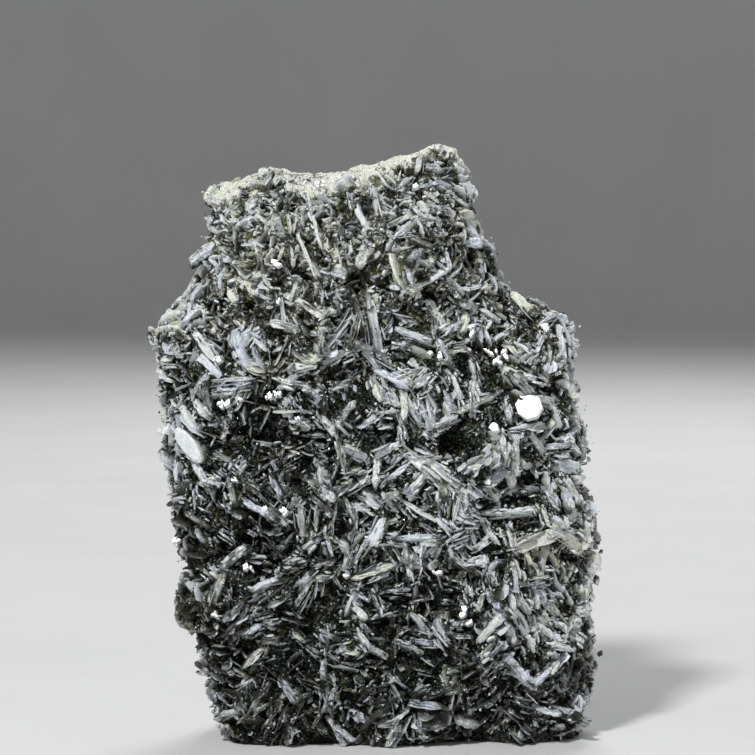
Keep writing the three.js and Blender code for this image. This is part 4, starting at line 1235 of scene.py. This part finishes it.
def companions(rng):
    """Needles that run along the blades of the table and fray their edges."""
    rows = []
    for x, z, angle, length, width, _ in SEEN_BLADES:
        for _ in range(rng.integers(1, 4) if z < NECK else 1):
            aside = rng.normal(0, width / 2 + 0.3)
            along = rng.uniform(-0.45, 0.45) * length
            way = np.radians(angle)
            right, up = along_and_aside(along, aside, way)
            way += rng.normal(0, 0.12)
            rows.append((x + right, z + up, way, length * rng.uniform(0.3, 0.8), rng.uniform(0.3, 0.6)))
    x, z, way, length, width = np.array(rows).T
    x, z = off_front_view(x, z)
    lean = rng.normal(0.03, 0.1, len(x))
    depth = rng.uniform(2.4, 4.4, len(x))
    sink = depth * rng.uniform(-0.12, 0.2, len(x))
    return stand(front_frame(x, z), way, lean, length, width, depth, 0, sink,
                 rng.normal(0, 0.2, len(x)), rng.normal(0.15, 0.25, len(x)))


def crown_blades(rng, count):
    depth = rng.uniform(2, 3.5, count)
    return stand(
        crown_spread(rng, count), rng.uniform(0, 2 * np.pi, count), rng.normal(0.02, 0.08, count),
        rng.uniform(3, 9, count), rng.uniform(0.5, 1.8, count), depth, 0,
        depth * rng.uniform(0.4, 0.65, count), rng.normal(0, 0.5, count), rng.uniform(-0.3, 0.5, count),
    )

# %% Groups of blades that share a direction
def groups_of_blades(
    rng, count, girth, rise, size=(1, 5), length=(3, 13), width=(0.45, 3), lean=(0.06, 0.14),
):
    """Groups of blades that share a direction, spread evenly over a stretch of the skin."""
    rows = []
    for i in range(count):
        evenly = [(0.3 + step * i) % 1 for step in EVEN_STEPS]
        centre = (lerp(*girth, evenly[0]), lerp(*rise, evenly[1]))
        way = rng.uniform(0, 2 * np.pi)
        shade = rng.uniform(-0.5, 0.5)
        reach = rng.uniform(0.8, 2.4)
        for _ in range(rng.integers(*size)):
            aside = rng.normal(0, reach)
            right, up = along_and_aside(rng.normal(0, 2.2), aside, way)
            rise_there = np.clip(centre[1] + up / HEIGHT, 0.015, 0.99)
            own_way = way + rng.normal(0, 0.12 * reach)
            rows.append((centre[0] + right / GIRTH_LENGTH, rise_there, own_way, shade))
    around, up, way, shade = np.array(rows).T
    many = len(rows)
    long = rng.uniform(*length, many) * rng.uniform(0.7, 1, many)
    depth = rng.uniform(2.4, 5, many)
    leaning = rng.normal(*lean, many)
    wide = lerp(*width, rng.beta(0.9, 3.2, many))
    roll = np.where(rng.uniform(0, 1, many) < 0.82, rng.normal(0, 0.25, many), rng.uniform(-0.9, 0.9, many))
    sink = depth * rng.uniform(-0.05, 0.4, many)
    return stand(skin_frame(around, up), way, leaning, long, wide, depth, 0, sink, roll, shade)

# %% Give every crystal a tone of its own
STAINS = [
    (45, 48, 10, 4, 0.5), (-46, 30, 4, 5, 0.4), (-24, 92, 5, 3, 0.5), (-12, 120, 26, 14, 0.1),
]  # cream and rusty patches: x, z, half width, half height, change of warmth


def add_tones(crystals, rng, white=0.5, halo=0.0, least=0.0):
    """Each crystal's own whiteness, warmth and chance number. A halo whitens what is beside a blade."""
    many = len(crystals["middle"])
    x, y, z = crystals["middle"].T
    whiteness = white + zone(x, z, ZONES) + crystals.pop("shade") + rng.normal(0, 0.17, many)
    whiteness += halo * (np.exp(-(beside_blades(x, z) ** 2) / 1.5) - 0.5) * (y < 0)
    whiteness += 0.13 * blotches(crystals["middle"], 10, 4)
    crust = crust_share(crystals["middle"])
    whiteness += 0.8 * crust**2 - 0.45 * hollow_share(crystals["middle"]) * (1 - crust)
    whiteness = np.clip(whiteness, least, 1)
    warmth = np.clip(rng.beta(1, 9, many) + zone(x, z, STAINS) + 0.05 * crust, 0, 1)
    crystals["tone"] = np.stack([whiteness, warmth, rng.uniform(0, 1, many)], 1)
    return crystals

# %% Place the large blades, and what grows beside and between them
def scattered_groups(count, girth, rise, **sizes):
    return groups_of_blades(place_rng, count, girth, rise, **sizes)


place_rng = np.random.default_rng(11)
large_blades = bundle(add_tones(seen_blades(place_rng, False), place_rng, 0.66), place_rng)
tablets = add_tones(seen_blades(place_rng, True), place_rng, 0.45)
needles = add_tones(join([
    companions(place_rng),
    duck_under(
        scattered_groups(120, (0.51, 0.99), WALL, size=(3, 8), length=(2.5, 7), width=(0.25, 0.6)), 0.7,
    ),
]), place_rng, 0.55)
front_blades = add_tones(duck_under(join([
    scattered_groups(175, WITHIN_FRONT, (0.02, 0.7), length=(2.5, 9), width=(0.35, 1.6)),
    scattered_groups(16, WITHIN_FRONT, (0.68, 0.98), length=(1.5, 5), width=(0.3, 0.9)),
    scattered_groups(45, WITHIN_FRONT, (0.01, 0.13)),
]), 1.2), place_rng, 0.18, least=0.12)
other_blades = bundle(add_tones(duck_under(join([
    solid_blades(),
    scattered_groups(55, LEFT_SIDE, WALL), scattered_groups(55, RIGHT_SIDE, WALL),
    scattered_groups(165, WITHIN_BACK, WALL), scattered_groups(8, (0.0, 1.0), (0.97, 0.99)),
    crown_blades(place_rng, 110),
]), 1.5), place_rng, least=0.35), place_rng)
print(len(large_blades["size"]), "large,", len(front_blades["size"]), "small and",
      len(other_blades["size"]), "other blades, with", len(needles["size"]), "needles")

# %% Grow them all
BEND = 0.012
ARCH = 0.16
SOFT_EDGE = 22  # degrees: edges that are blunter than this look rounded
blade_pieces = []
# The last number of each row lifts the painted shade at the blades' roots.
for name, shapes, crystals, finish, ragged, lift_root_shade in (
    ("large_blades", lath_shapes, large_blades, CLEAR_MILKY, 0.04, 0),
    ("tablets", tablet_shapes, tablets, CLEAR_MILKY, 0.015, 0),
    ("needles", needle_shapes, needles, CLEAR_MILKY, 0.04, 0),
    ("quartz_blades", splinter_shapes + lath_shapes, front_blades, MILKY, 0.06, 0),
    ("scattered_blades", splinter_shapes + lath_shapes, other_blades, MILKY, 0.06, 0.25),
):
    blades = grow(name, shapes, crystals, place_rng, BEND, ragged, ARCH, SOFT_EDGE, lift_root_shade)
    belongs(blades, finish)
    blade_pieces.append(blades)

# %% [markdown]
# ## The milky druse beside the blades
#
# The blades grow out of a mass of milky quartz, so the druse swells and pales towards them.

# %% Raise the druse beside the blades
SWELL = 0.6
SWELL_REACH = 1.1

slab_corners = corners(slab.data) / MM
slab_out = normals(slab.data)
crust_there = read_array(slab.data.attributes["crust"].data, "value", np.float32, 1)[:, 0]
near = np.exp(-(beside_blades(slab_corners[:, 0], slab_corners[:, 2]) / SWELL_REACH) ** 2)
near *= (slab_out[:, 1] < -0.2) * (1 - np.clip(crust_there, 0, 1))
raised = slab_corners + slab_out * SWELL * near[:, None]
raised[:, 2] = np.where(slab_corners[:, 2] <= 0, 0, np.clip(raised[:, 2], 0, cad_box[1][2] / MM))
set_corners(slab.data, raised * MM)
slab.data.attributes["crust"].data.foreach_set("value", (crust_there + 0.25 * near).astype(np.float32))
print("share of the druse that lies beside blades:", near.mean().round(2))

# %% [markdown]
# ## Seat the small crystals
#
# Small crystals are scattered in a layer over the druse, so some would hang in the air, which shows at
# the sides. Blender can find the nearest point of a mesh quickly with a search tree. One tree is made
# of the druse and all blades, and a small crystal that touches none of them moves back to the nearest.

# %% Find the nearest surface, and move small crystals to it
SEAT = 0.3  # share of a small crystal's least size that may lie between its middle and what carries it


def surfaces_of(pieces):
    """One search tree over the surfaces of several pieces, in millimetres."""
    points, triangles, first = [], [], 0
    for piece in pieces:
        mesh = piece.data
        mesh.calc_loop_triangles()
        points.append(corners(mesh) / MM)
        triangles.append(read_array(mesh.loop_triangles, "vertices", np.int32) + first)
        first += len(mesh.vertices)
    return BVHTree.FromPolygons(np.concatenate(points).tolist(), np.concatenate(triangles).tolist())


def is_outside(place, distance, ground):
    """True for a place in the air. At a sharp edge, all faces that meet there have a say."""
    faces = ground.find_nearest_range(place, distance + 0.002)
    return sum(normal.dot(place - surface) for surface, normal, _, _ in faces) > 0


def settle(crystals, ground):
    """Crystals that would hang in the air, moved back onto the nearest surface."""
    moved = 0
    for middle, size in zip(crystals["middle"], crystals["size"]):
        surface, _, _, distance = ground.find_nearest(middle)
        gap = distance - SEAT * min(size)
        if gap > 0 and is_outside(Vector(middle), distance, ground):
            middle += (np.array(surface) - middle) * gap / distance
            moved += 1
    print(moved, "of", len(crystals["middle"]), "small crystals moved back to a surface")
    return crystals


ground = surfaces_of([slab] + blade_pieces)

# %% [markdown]
# ## The small plates
#
# Between the large blades the druse is full of small broken plates, too many to tell apart. Each is
# a thin, flat piece with an uneven outline, and they stand at every angle and fill the gaps.

# %% Model the small plates
def model_plate(rng, sides):
    """A broken plate in the XZ plane, from about -0.5 to 0.5, and 1 thick in Y."""
    shares = rng.uniform(0.55, 1.1, (sides, 1))
    plate = lay_face("plate", sides, lambda circle: circle * (1, 0, 1) * shares - (0, 0.5, 0),
                     rotation=(np.pi / 2, 0, 0))
    extrude(0, 1, 0)
    bpy.ops.transform.resize(value=(rng.uniform(0.7, 1.1), 1, rng.uniform(0.7, 1.1)))
    turn_faces()
    return plate


plate_rng = np.random.default_rng(5)
plate_shapes = [take_shape(model_plate(plate_rng, 5 + i % 2)) for i in range(8)]
print(len(plate_shapes), "plates of", [len(faces) for _, faces in plate_shapes], "triangles")

# %% Scatter and grow the small plates
def plate_size(rng, count):
    return [rng.uniform(1.5, 4.5, count), rng.uniform(0.25, 0.6, count), rng.uniform(1.2, 3, count)]


def scattered_plates(rng, frames, sunk=(0.9, 2.6)):
    """Plates at every angle: the darker ones and the paler ones are two separate kinds."""
    count = len(frames[0])
    shade = rng.choice([-0.42, 0.45], count, p=(0.6, 0.4)) + rng.normal(0, 0.12, count)
    way = rng.uniform(0, 2 * np.pi, count)
    lean = rng.normal(0.1, 0.35, count)
    size = plate_size(rng, count)
    return stand(frames, way, lean, *size, 0, rng.uniform(*sunk, count), rng.normal(0, 0.7, count), shade)


def splinters(rng, hosts, count):
    """Small plates beside larger blades, which run the same way as they do."""
    host = picked(hosts, rng.choice(np.flatnonzero(hosts["middle"][:, 2] < NECK), count))
    host["middle"] = host["middle"] + host["side"] * rng.normal(0, 1.3, (count, 1))
    host["middle"] += host["along"] * rng.uniform(-0.6, 0.6, (count, 1)) * host["size"][:, :1]
    host["middle"] -= host["facing"] * rng.uniform(-0.5, 1.5, (count, 1))
    host["along"], host["side"] = turned(host["along"], host["side"], rng.normal(0, 0.2, (count, 1)))
    host["size"] = np.stack(plate_size(rng, count), 1)
    host["shade"] = 0.6 * host["tone"][:, 0] - 0.3 + rng.normal(0, 0.3, count)
    return host


plates = add_tones(sink_in_hollows(join([
    scattered_plates(plate_rng, spread(plate_rng, 2300, FRONT)), splinters(plate_rng, large_blades, 1600),
    scattered_plates(plate_rng, spread(plate_rng, 2300, WITHIN_FRONT, NECK_WALL), (0.2, 1.7)),
    splinters(plate_rng, front_blades, 600),
    scattered_plates(plate_rng, spread(plate_rng, 2200, BACK)), splinters(plate_rng, other_blades, 800),
    scattered_plates(plate_rng, crown_spread(plate_rng, 200)),
])), plate_rng, 0.18, 0.5)
small_plates = grow("small_plates", plate_shapes, settle(plates, ground), plate_rng, ragged=0.03)
belongs(small_plates, MILKY)

# %% [markdown]
# ## The bright faces
#
# Here and there a crystal ends in a broad, flat, unbroken face, which lights up as a whole where it is
# turned just right between the light and the eye. These faces are turned so, and their near-white
# colour is also a painted highlight that stands in for the glint. The largest is a thin plate with
# eight corners. The small ones are broken: each is a few plates of four to six corners, close together.

# %% Where the bright faces are, and what they are turned to
FACES = [
    (39.6, 81.6, 6.7, 6.2), (30.6, 76.4, 2.3, 2.4), (30.4, 94.8, 2.8, 2.2), (34.6, 94.9, 2.5, 2),
    (32.6, 92.8, 2.8, 1.8), (44.5, 101, 1.7, 2.2), (25.4, 101.2, 2.1, 2.6), (46.8, 89.7, 1.6, 1.2),
    (-38.7, 93.4, 3, 1.6), (-26.1, 84.1, 2.6, 2.3), (-23.6, 84.8, 1.8, 1.5), (-37.5, 82, 2.5, 2.2),
    (-18.6, 79, 1.3, 0.9), (-23.1, 108.3, 1.7, 1.2), (-33, 82.9, 1.1, 2), (16.5, 95, 2.3, 1.9),
    (-23.5, 118, 2, 2.2), (-12.5, 137, 2, 1.6), (11.2, 136.8, 1.6, 1.5), (-27.2, 55.5, 2.2, 2.6),
    (-22.2, 55, 1.8, 2.2), (-31.5, 41, 2.8, 2), (-46.7, 46.7, 1.6, 1.8), (23, 29.6, 2.4, 3.4),
    (25, 27, 1.6, 2), (16.2, 39.7, 3.2, 1.4), (-6, 38.7, 1.8, 2.4), (-38, 29.5, 1.6, 1.4),
    (-34.2, 62.7, 1.3, 1.2),
]  # x, z, width and height: the places are those of a front view
KEY_LIGHT = Vector((-0.3, -0.65, 0.85))
MIDDLE = Vector((0, 0, 0.075))
TO_VIEWER = Vector((0, -1, 0.07))
print("one great face, and", len(FACES) - 1, "small ones")

# %% Model the bright faces and their finish
def model_face(rng, sides, uneven):
    """A thin plate in the XY plane, from about -0.5 to 0.5, with a narrow bevel, 1 thick in Z."""
    shares = [(share, share, 1) for share in rng.uniform(uneven, 1.15, sides)]
    face = lay_face("face", sides, lambda circle: circle * shares, location=(0, 0, -0.5))
    extrude(0, 0, 0.8)
    extrude(0, 0, 0.2)
    bpy.ops.transform.resize(value=(0.93, 0.93, 1))
    turn_faces()
    return face


def face_material():
    material, tree, shader = new_material("white glint face", Roughness=0.25, IOR=QUARTZ_IOR)
    _, speck = cells(tree, attribute(tree, "own_place")["Vector"], 2.0)
    # The near-white colour is a painted highlight, standing in for the glint of faces that are also turned to
    # reflect the key light.
    colour = ramp(tree, speck[0], [
        (0.0, (0.30, 0.30, 0.27)), (0.06, (0.84, 0.87, 0.88)), (1.0, (0.93, 0.95, 0.96)),
    ])
    tree.links.new(colour, shader.inputs["Base Color"])
    return material


GLINT_WHITE = face_material()
face_rng = np.random.default_rng(9)
great_shape = [take_shape(model_face(face_rng, 8, 0.82))]
shard_shapes = [take_shape(model_face(face_rng, 4 + i % 3, 0.45)) for i in range(9)]
print(len(shard_shapes), "shapes for the pieces of the small faces")

# %% Turn them to the light, and grow them
FACE_DEPTH = 1.6
SHARDS_EACH = 4


def glint_faces(rng, x, z, width, height):
    """Faces on the front, turned halfway between the key light and the viewer."""
    many = len(x)
    point, _, _, out = front_frame(x, z)
    bright = np.array((KEY_LIGHT - MIDDLE).normalized() + TO_VIEWER.normalized())
    facing = unit(bright / np.linalg.norm(bright) + rng.normal(0, 0.03, (many, 3)))
    level = unit(np.cross(facing, (0, 0, 1)))
    along, _ = turned(level, np.cross(facing, level), rng.uniform(0, np.pi, (many, 1)))
    middle = point + out * rng.uniform(0.2, 0.9, (many, 1))
    size = np.stack([width, height, np.full(many, FACE_DEPTH)], 1)
    return {
        "middle": middle, "along": along, "side": np.cross(facing, along), "facing": facing, "size": size,
        "shade": np.zeros(many),
    }


def seen_faces():
    """The faces of the table, at the places on the skin, to a tenth of a millimetre, that the view shows."""
    x, z, width, height = np.array(FACES).T
    x, z = np.round(off_front_view(x, z), 1)
    return np.stack([x, z, width, height], 1)


def shards(rng):
    """The small bright faces: each is a few broken pieces close together."""
    x, z, width, height = np.repeat(seen_faces()[1:], SHARDS_EACH, 0).T
    size = np.minimum(width, height)
    x = x + width * rng.normal(0, 0.24, len(x))
    z = z + height * rng.normal(0, 0.22, len(x))
    return glint_faces(rng, x, z, size * rng.uniform(0.5, 1.2, len(x)), size * rng.uniform(0.4, 0.9, len(x)))


great_face = glint_faces(face_rng, *seen_faces()[:1].T)
for name, shapes, crystals in (
    ("great_face", great_shape, great_face), ("glint_faces", shard_shapes, shards(face_rng)),
):
    belongs(grow(name, shapes, add_tones(crystals, face_rng, 1), face_rng), GLINT_WHITE)

# %% [markdown]
# ## The grains
#
# The druse itself is a crust of tiny crystals. Each is a stubby, uneven lump with flat faces, and a few
# of them always catch the light, which makes the dark parts glitter when the piece is turned.

# %% Model the grains and their finish
def grain_material():
    material, tree, shader = new_material("dark grains", Roughness=0.12, Specular_IOR_Level=0.3)
    white, _, chance = separate(tree, attribute(tree, "tone")["Color"])
    place = object_place(tree)
    patch = noise(tree, place, 0.4 * PER_MM, 3.0, 0.6)
    unlike = ramp(tree, rise_of(tree, place), [(0.45, 0.75), (0.55, 0.45)])
    chance = add_shares(
        tree, maths(tree, "ADD", maths(tree, "MULTIPLY", less(tree, chance, 0.5), unlike), 0.54),
        (less(tree, white, 0.5), 0.7), (less(tree, patch, 0.5), 1.2),
    )
    tree.links.new(salt_and_pepper(tree, place, chance), shader.inputs["Base Color"])
    return material


def model_grain(seed):
    """A stubby four-sided crystal, uneven, from about -0.5 to 0.5."""
    bpy.ops.object.select_all(action="DESELECT")
    bpy.ops.mesh.primitive_cone_add(vertices=4, radius1=0.6, radius2=0.3, depth=0.9)
    grain = name_it("grain")
    bpy.ops.object.mode_set(mode="EDIT")
    bpy.ops.mesh.select_all(action="SELECT")
    bpy.ops.transform.vertex_random(offset=0.2, seed=seed)
    bpy.ops.object.mode_set(mode="OBJECT")
    return grain


GRAINS = grain_material()
grain_shapes = [take_shape(model_grain(seed)) for seed in range(5)]
print(len(grain_shapes), "grains of", len(grain_shapes[0][1]), "triangles")

# %% Scatter and grow the grains
FINE = (0.25, 0.85)
COARSE = (0.35, 1.1)


def scattered_grains(rng, frames, size):
    count = len(frames[0])
    width = rng.uniform(*size, count)
    length = width * rng.uniform(0.9, 1.8, count)
    sink = rng.uniform(0.6, 2.4, count)
    return stand(frames, rng.uniform(0, 2 * np.pi, count), rng.uniform(-0.6, 1.2, count), length, width,
                 width * rng.uniform(0.6, 1, count), 0, sink)


grain_rng = np.random.default_rng(7)
front_grains = scattered_grains(grain_rng, spread(grain_rng, 10600, FRONT), FINE)
front_grains = add_tones(sink_in_hollows(front_grains), grain_rng, 0.5, 0.8)
belongs(grow("front_grains", grain_shapes, settle(front_grains, ground), grain_rng), GRAINS)
back_grains = join([
    scattered_grains(grain_rng, spread(grain_rng, 6000, BACK), COARSE),
    scattered_grains(grain_rng, crown_spread(grain_rng, 700), COARSE),
])
back_grains = add_tones(sink_in_hollows(back_grains), grain_rng)
belongs(grow("back_grains", grain_shapes, settle(back_grains, ground), grain_rng), GRAINS)

# %% Sugar the blades
def sugar(rng, hosts, count):
    """Grains that sit on the free edges of the blades."""
    host = picked(hosts, rng.integers(len(hosts["middle"]), size=count))
    length, width, depth = host["size"].T[..., None]
    ahead, aside, up = rng.uniform(-0.5, 0.5, (3, count, 1))
    host["middle"] = host["middle"] + host["along"] * (0.9 * ahead) * length
    host["middle"] += host["side"] * (1.1 * aside) * width
    host["middle"] += host["facing"] * (0.6 * up + 0.15) * depth
    host["size"] = rng.uniform(0.2, 0.6, (count, 1)) * rng.uniform(0.7, 1.5, (count, 3))
    host["shade"] = rng.choice([-0.45, 0.45], count, p=(0.45, 0.55))
    return host


sugar_rng = np.random.default_rng(13)
sugared = ((front_blades, 1500), (other_blades, 1500), (large_blades, 400))
sugar_grains = join([sugar(sugar_rng, hosts, count) for hosts, count in sugared])
sugar_grains = settle(add_tones(sugar_grains, sugar_rng), ground)
belongs(grow("sugar_grains", grain_shapes, sugar_grains, sugar_rng), MILKY)

# %% [markdown]
# ## The floor, the light and the camera
#
# A pale floor curves up into a backdrop, so that no line shows where they meet. One large soft light
# from above and in front does most of the work, because light from above is what puts the gaps between
# the blades in the dark, and weaker ones fill from the sides.

# %% The floor and the backdrop
def model_floor():
    bpy.ops.object.select_all(action="DESELECT")
    bpy.ops.mesh.primitive_cylinder_add(vertices=96, radius=2, depth=2, location=(0, 0, 1 - 0.0002))
    floor = name_it("floor")
    bpy.ops.object.transform_apply(location=True, rotation=True, scale=True)
    for top in (True, False):
        bpy.ops.object.mode_set(mode="EDIT")
        bpy.ops.mesh.select_mode(type="FACE")
        bpy.ops.mesh.select_all(action="DESELECT")
        bpy.ops.object.mode_set(mode="OBJECT")
        for face in floor.data.polygons:
            face.select = face.normal.z > 0.9 if top else face.normal.z < -0.9
        bpy.ops.object.mode_set(mode="EDIT")
        if top:
            bpy.ops.mesh.delete(type="FACE")
        else:
            bpy.ops.mesh.bevel(offset=0.9, segments=16)
        turn_faces(inside=True)
    floor.data.shade_smooth()
    return floor


def floor_material():
    material, tree, shader = new_material("pale paper", Roughness=0.9)
    grain = noise(tree, object_place(tree), 12.0, 4.0)
    tree.links.new(ramp(tree, grain, [(0.3, 0.70), (0.7, 0.74)]), shader.inputs["Base Color"])
    return material


floor = model_floor()
floor.data.materials.append(floor_material())

# %% The lights
def area_light(name, place, target, size, power):
    light = bpy.data.lights.new(name, "AREA")
    light.size = size
    light.energy = power
    lamp = bpy.data.objects.new(name, light)
    lamp.location = place
    lamp.rotation_euler = (Vector(target) - Vector(place)).to_track_quat("-Z", "Y").to_euler()
    bpy.context.scene.collection.objects.link(lamp)


area_light("key", KEY_LIGHT, MIDDLE, 0.13, 8.5)
area_light("left fill", (-0.9, -0.5, 0.3), MIDDLE, 0.7, 0.8)
area_light("right fill", (0.9, -0.4, 0.4), MIDDLE, 0.6, 0.85)
area_light("back light", (0.2, 0.9, 0.9), MIDDLE, 0.6, 8)
world = bpy.data.worlds.new("soft room")
world.use_nodes = True
world.node_tree.nodes["Background"].inputs["Color"].default_value = (0.95, 0.97, 1, 1)
world.node_tree.nodes["Background"].inputs["Strength"].default_value = 0.12
bpy.context.scene.world = world
bpy.context.scene.view_settings.view_transform = "Standard"

# %% The camera
CAMERA_DISTANCE = 0.7
VIEW_WIDTH = 0.18875  # the width that the picture takes in, where the slab stands
SENSOR = 36
TARGET = Vector((0.0016, 0, 0.0894))
ELEVATION = np.radians(4)

lens = bpy.data.cameras.new("camera")
lens.sensor_width = SENSOR
lens.lens = SENSOR * CAMERA_DISTANCE / VIEW_WIDTH
camera = bpy.data.objects.new("camera", lens)
away = Vector((0, -np.cos(ELEVATION), np.sin(ELEVATION)))
camera.location = TARGET + away * CAMERA_DISTANCE
camera.rotation_euler = (-away).to_track_quat("-Z", "Y").to_euler()
bpy.context.scene.collection.objects.link(camera)
bpy.context.scene.camera = camera
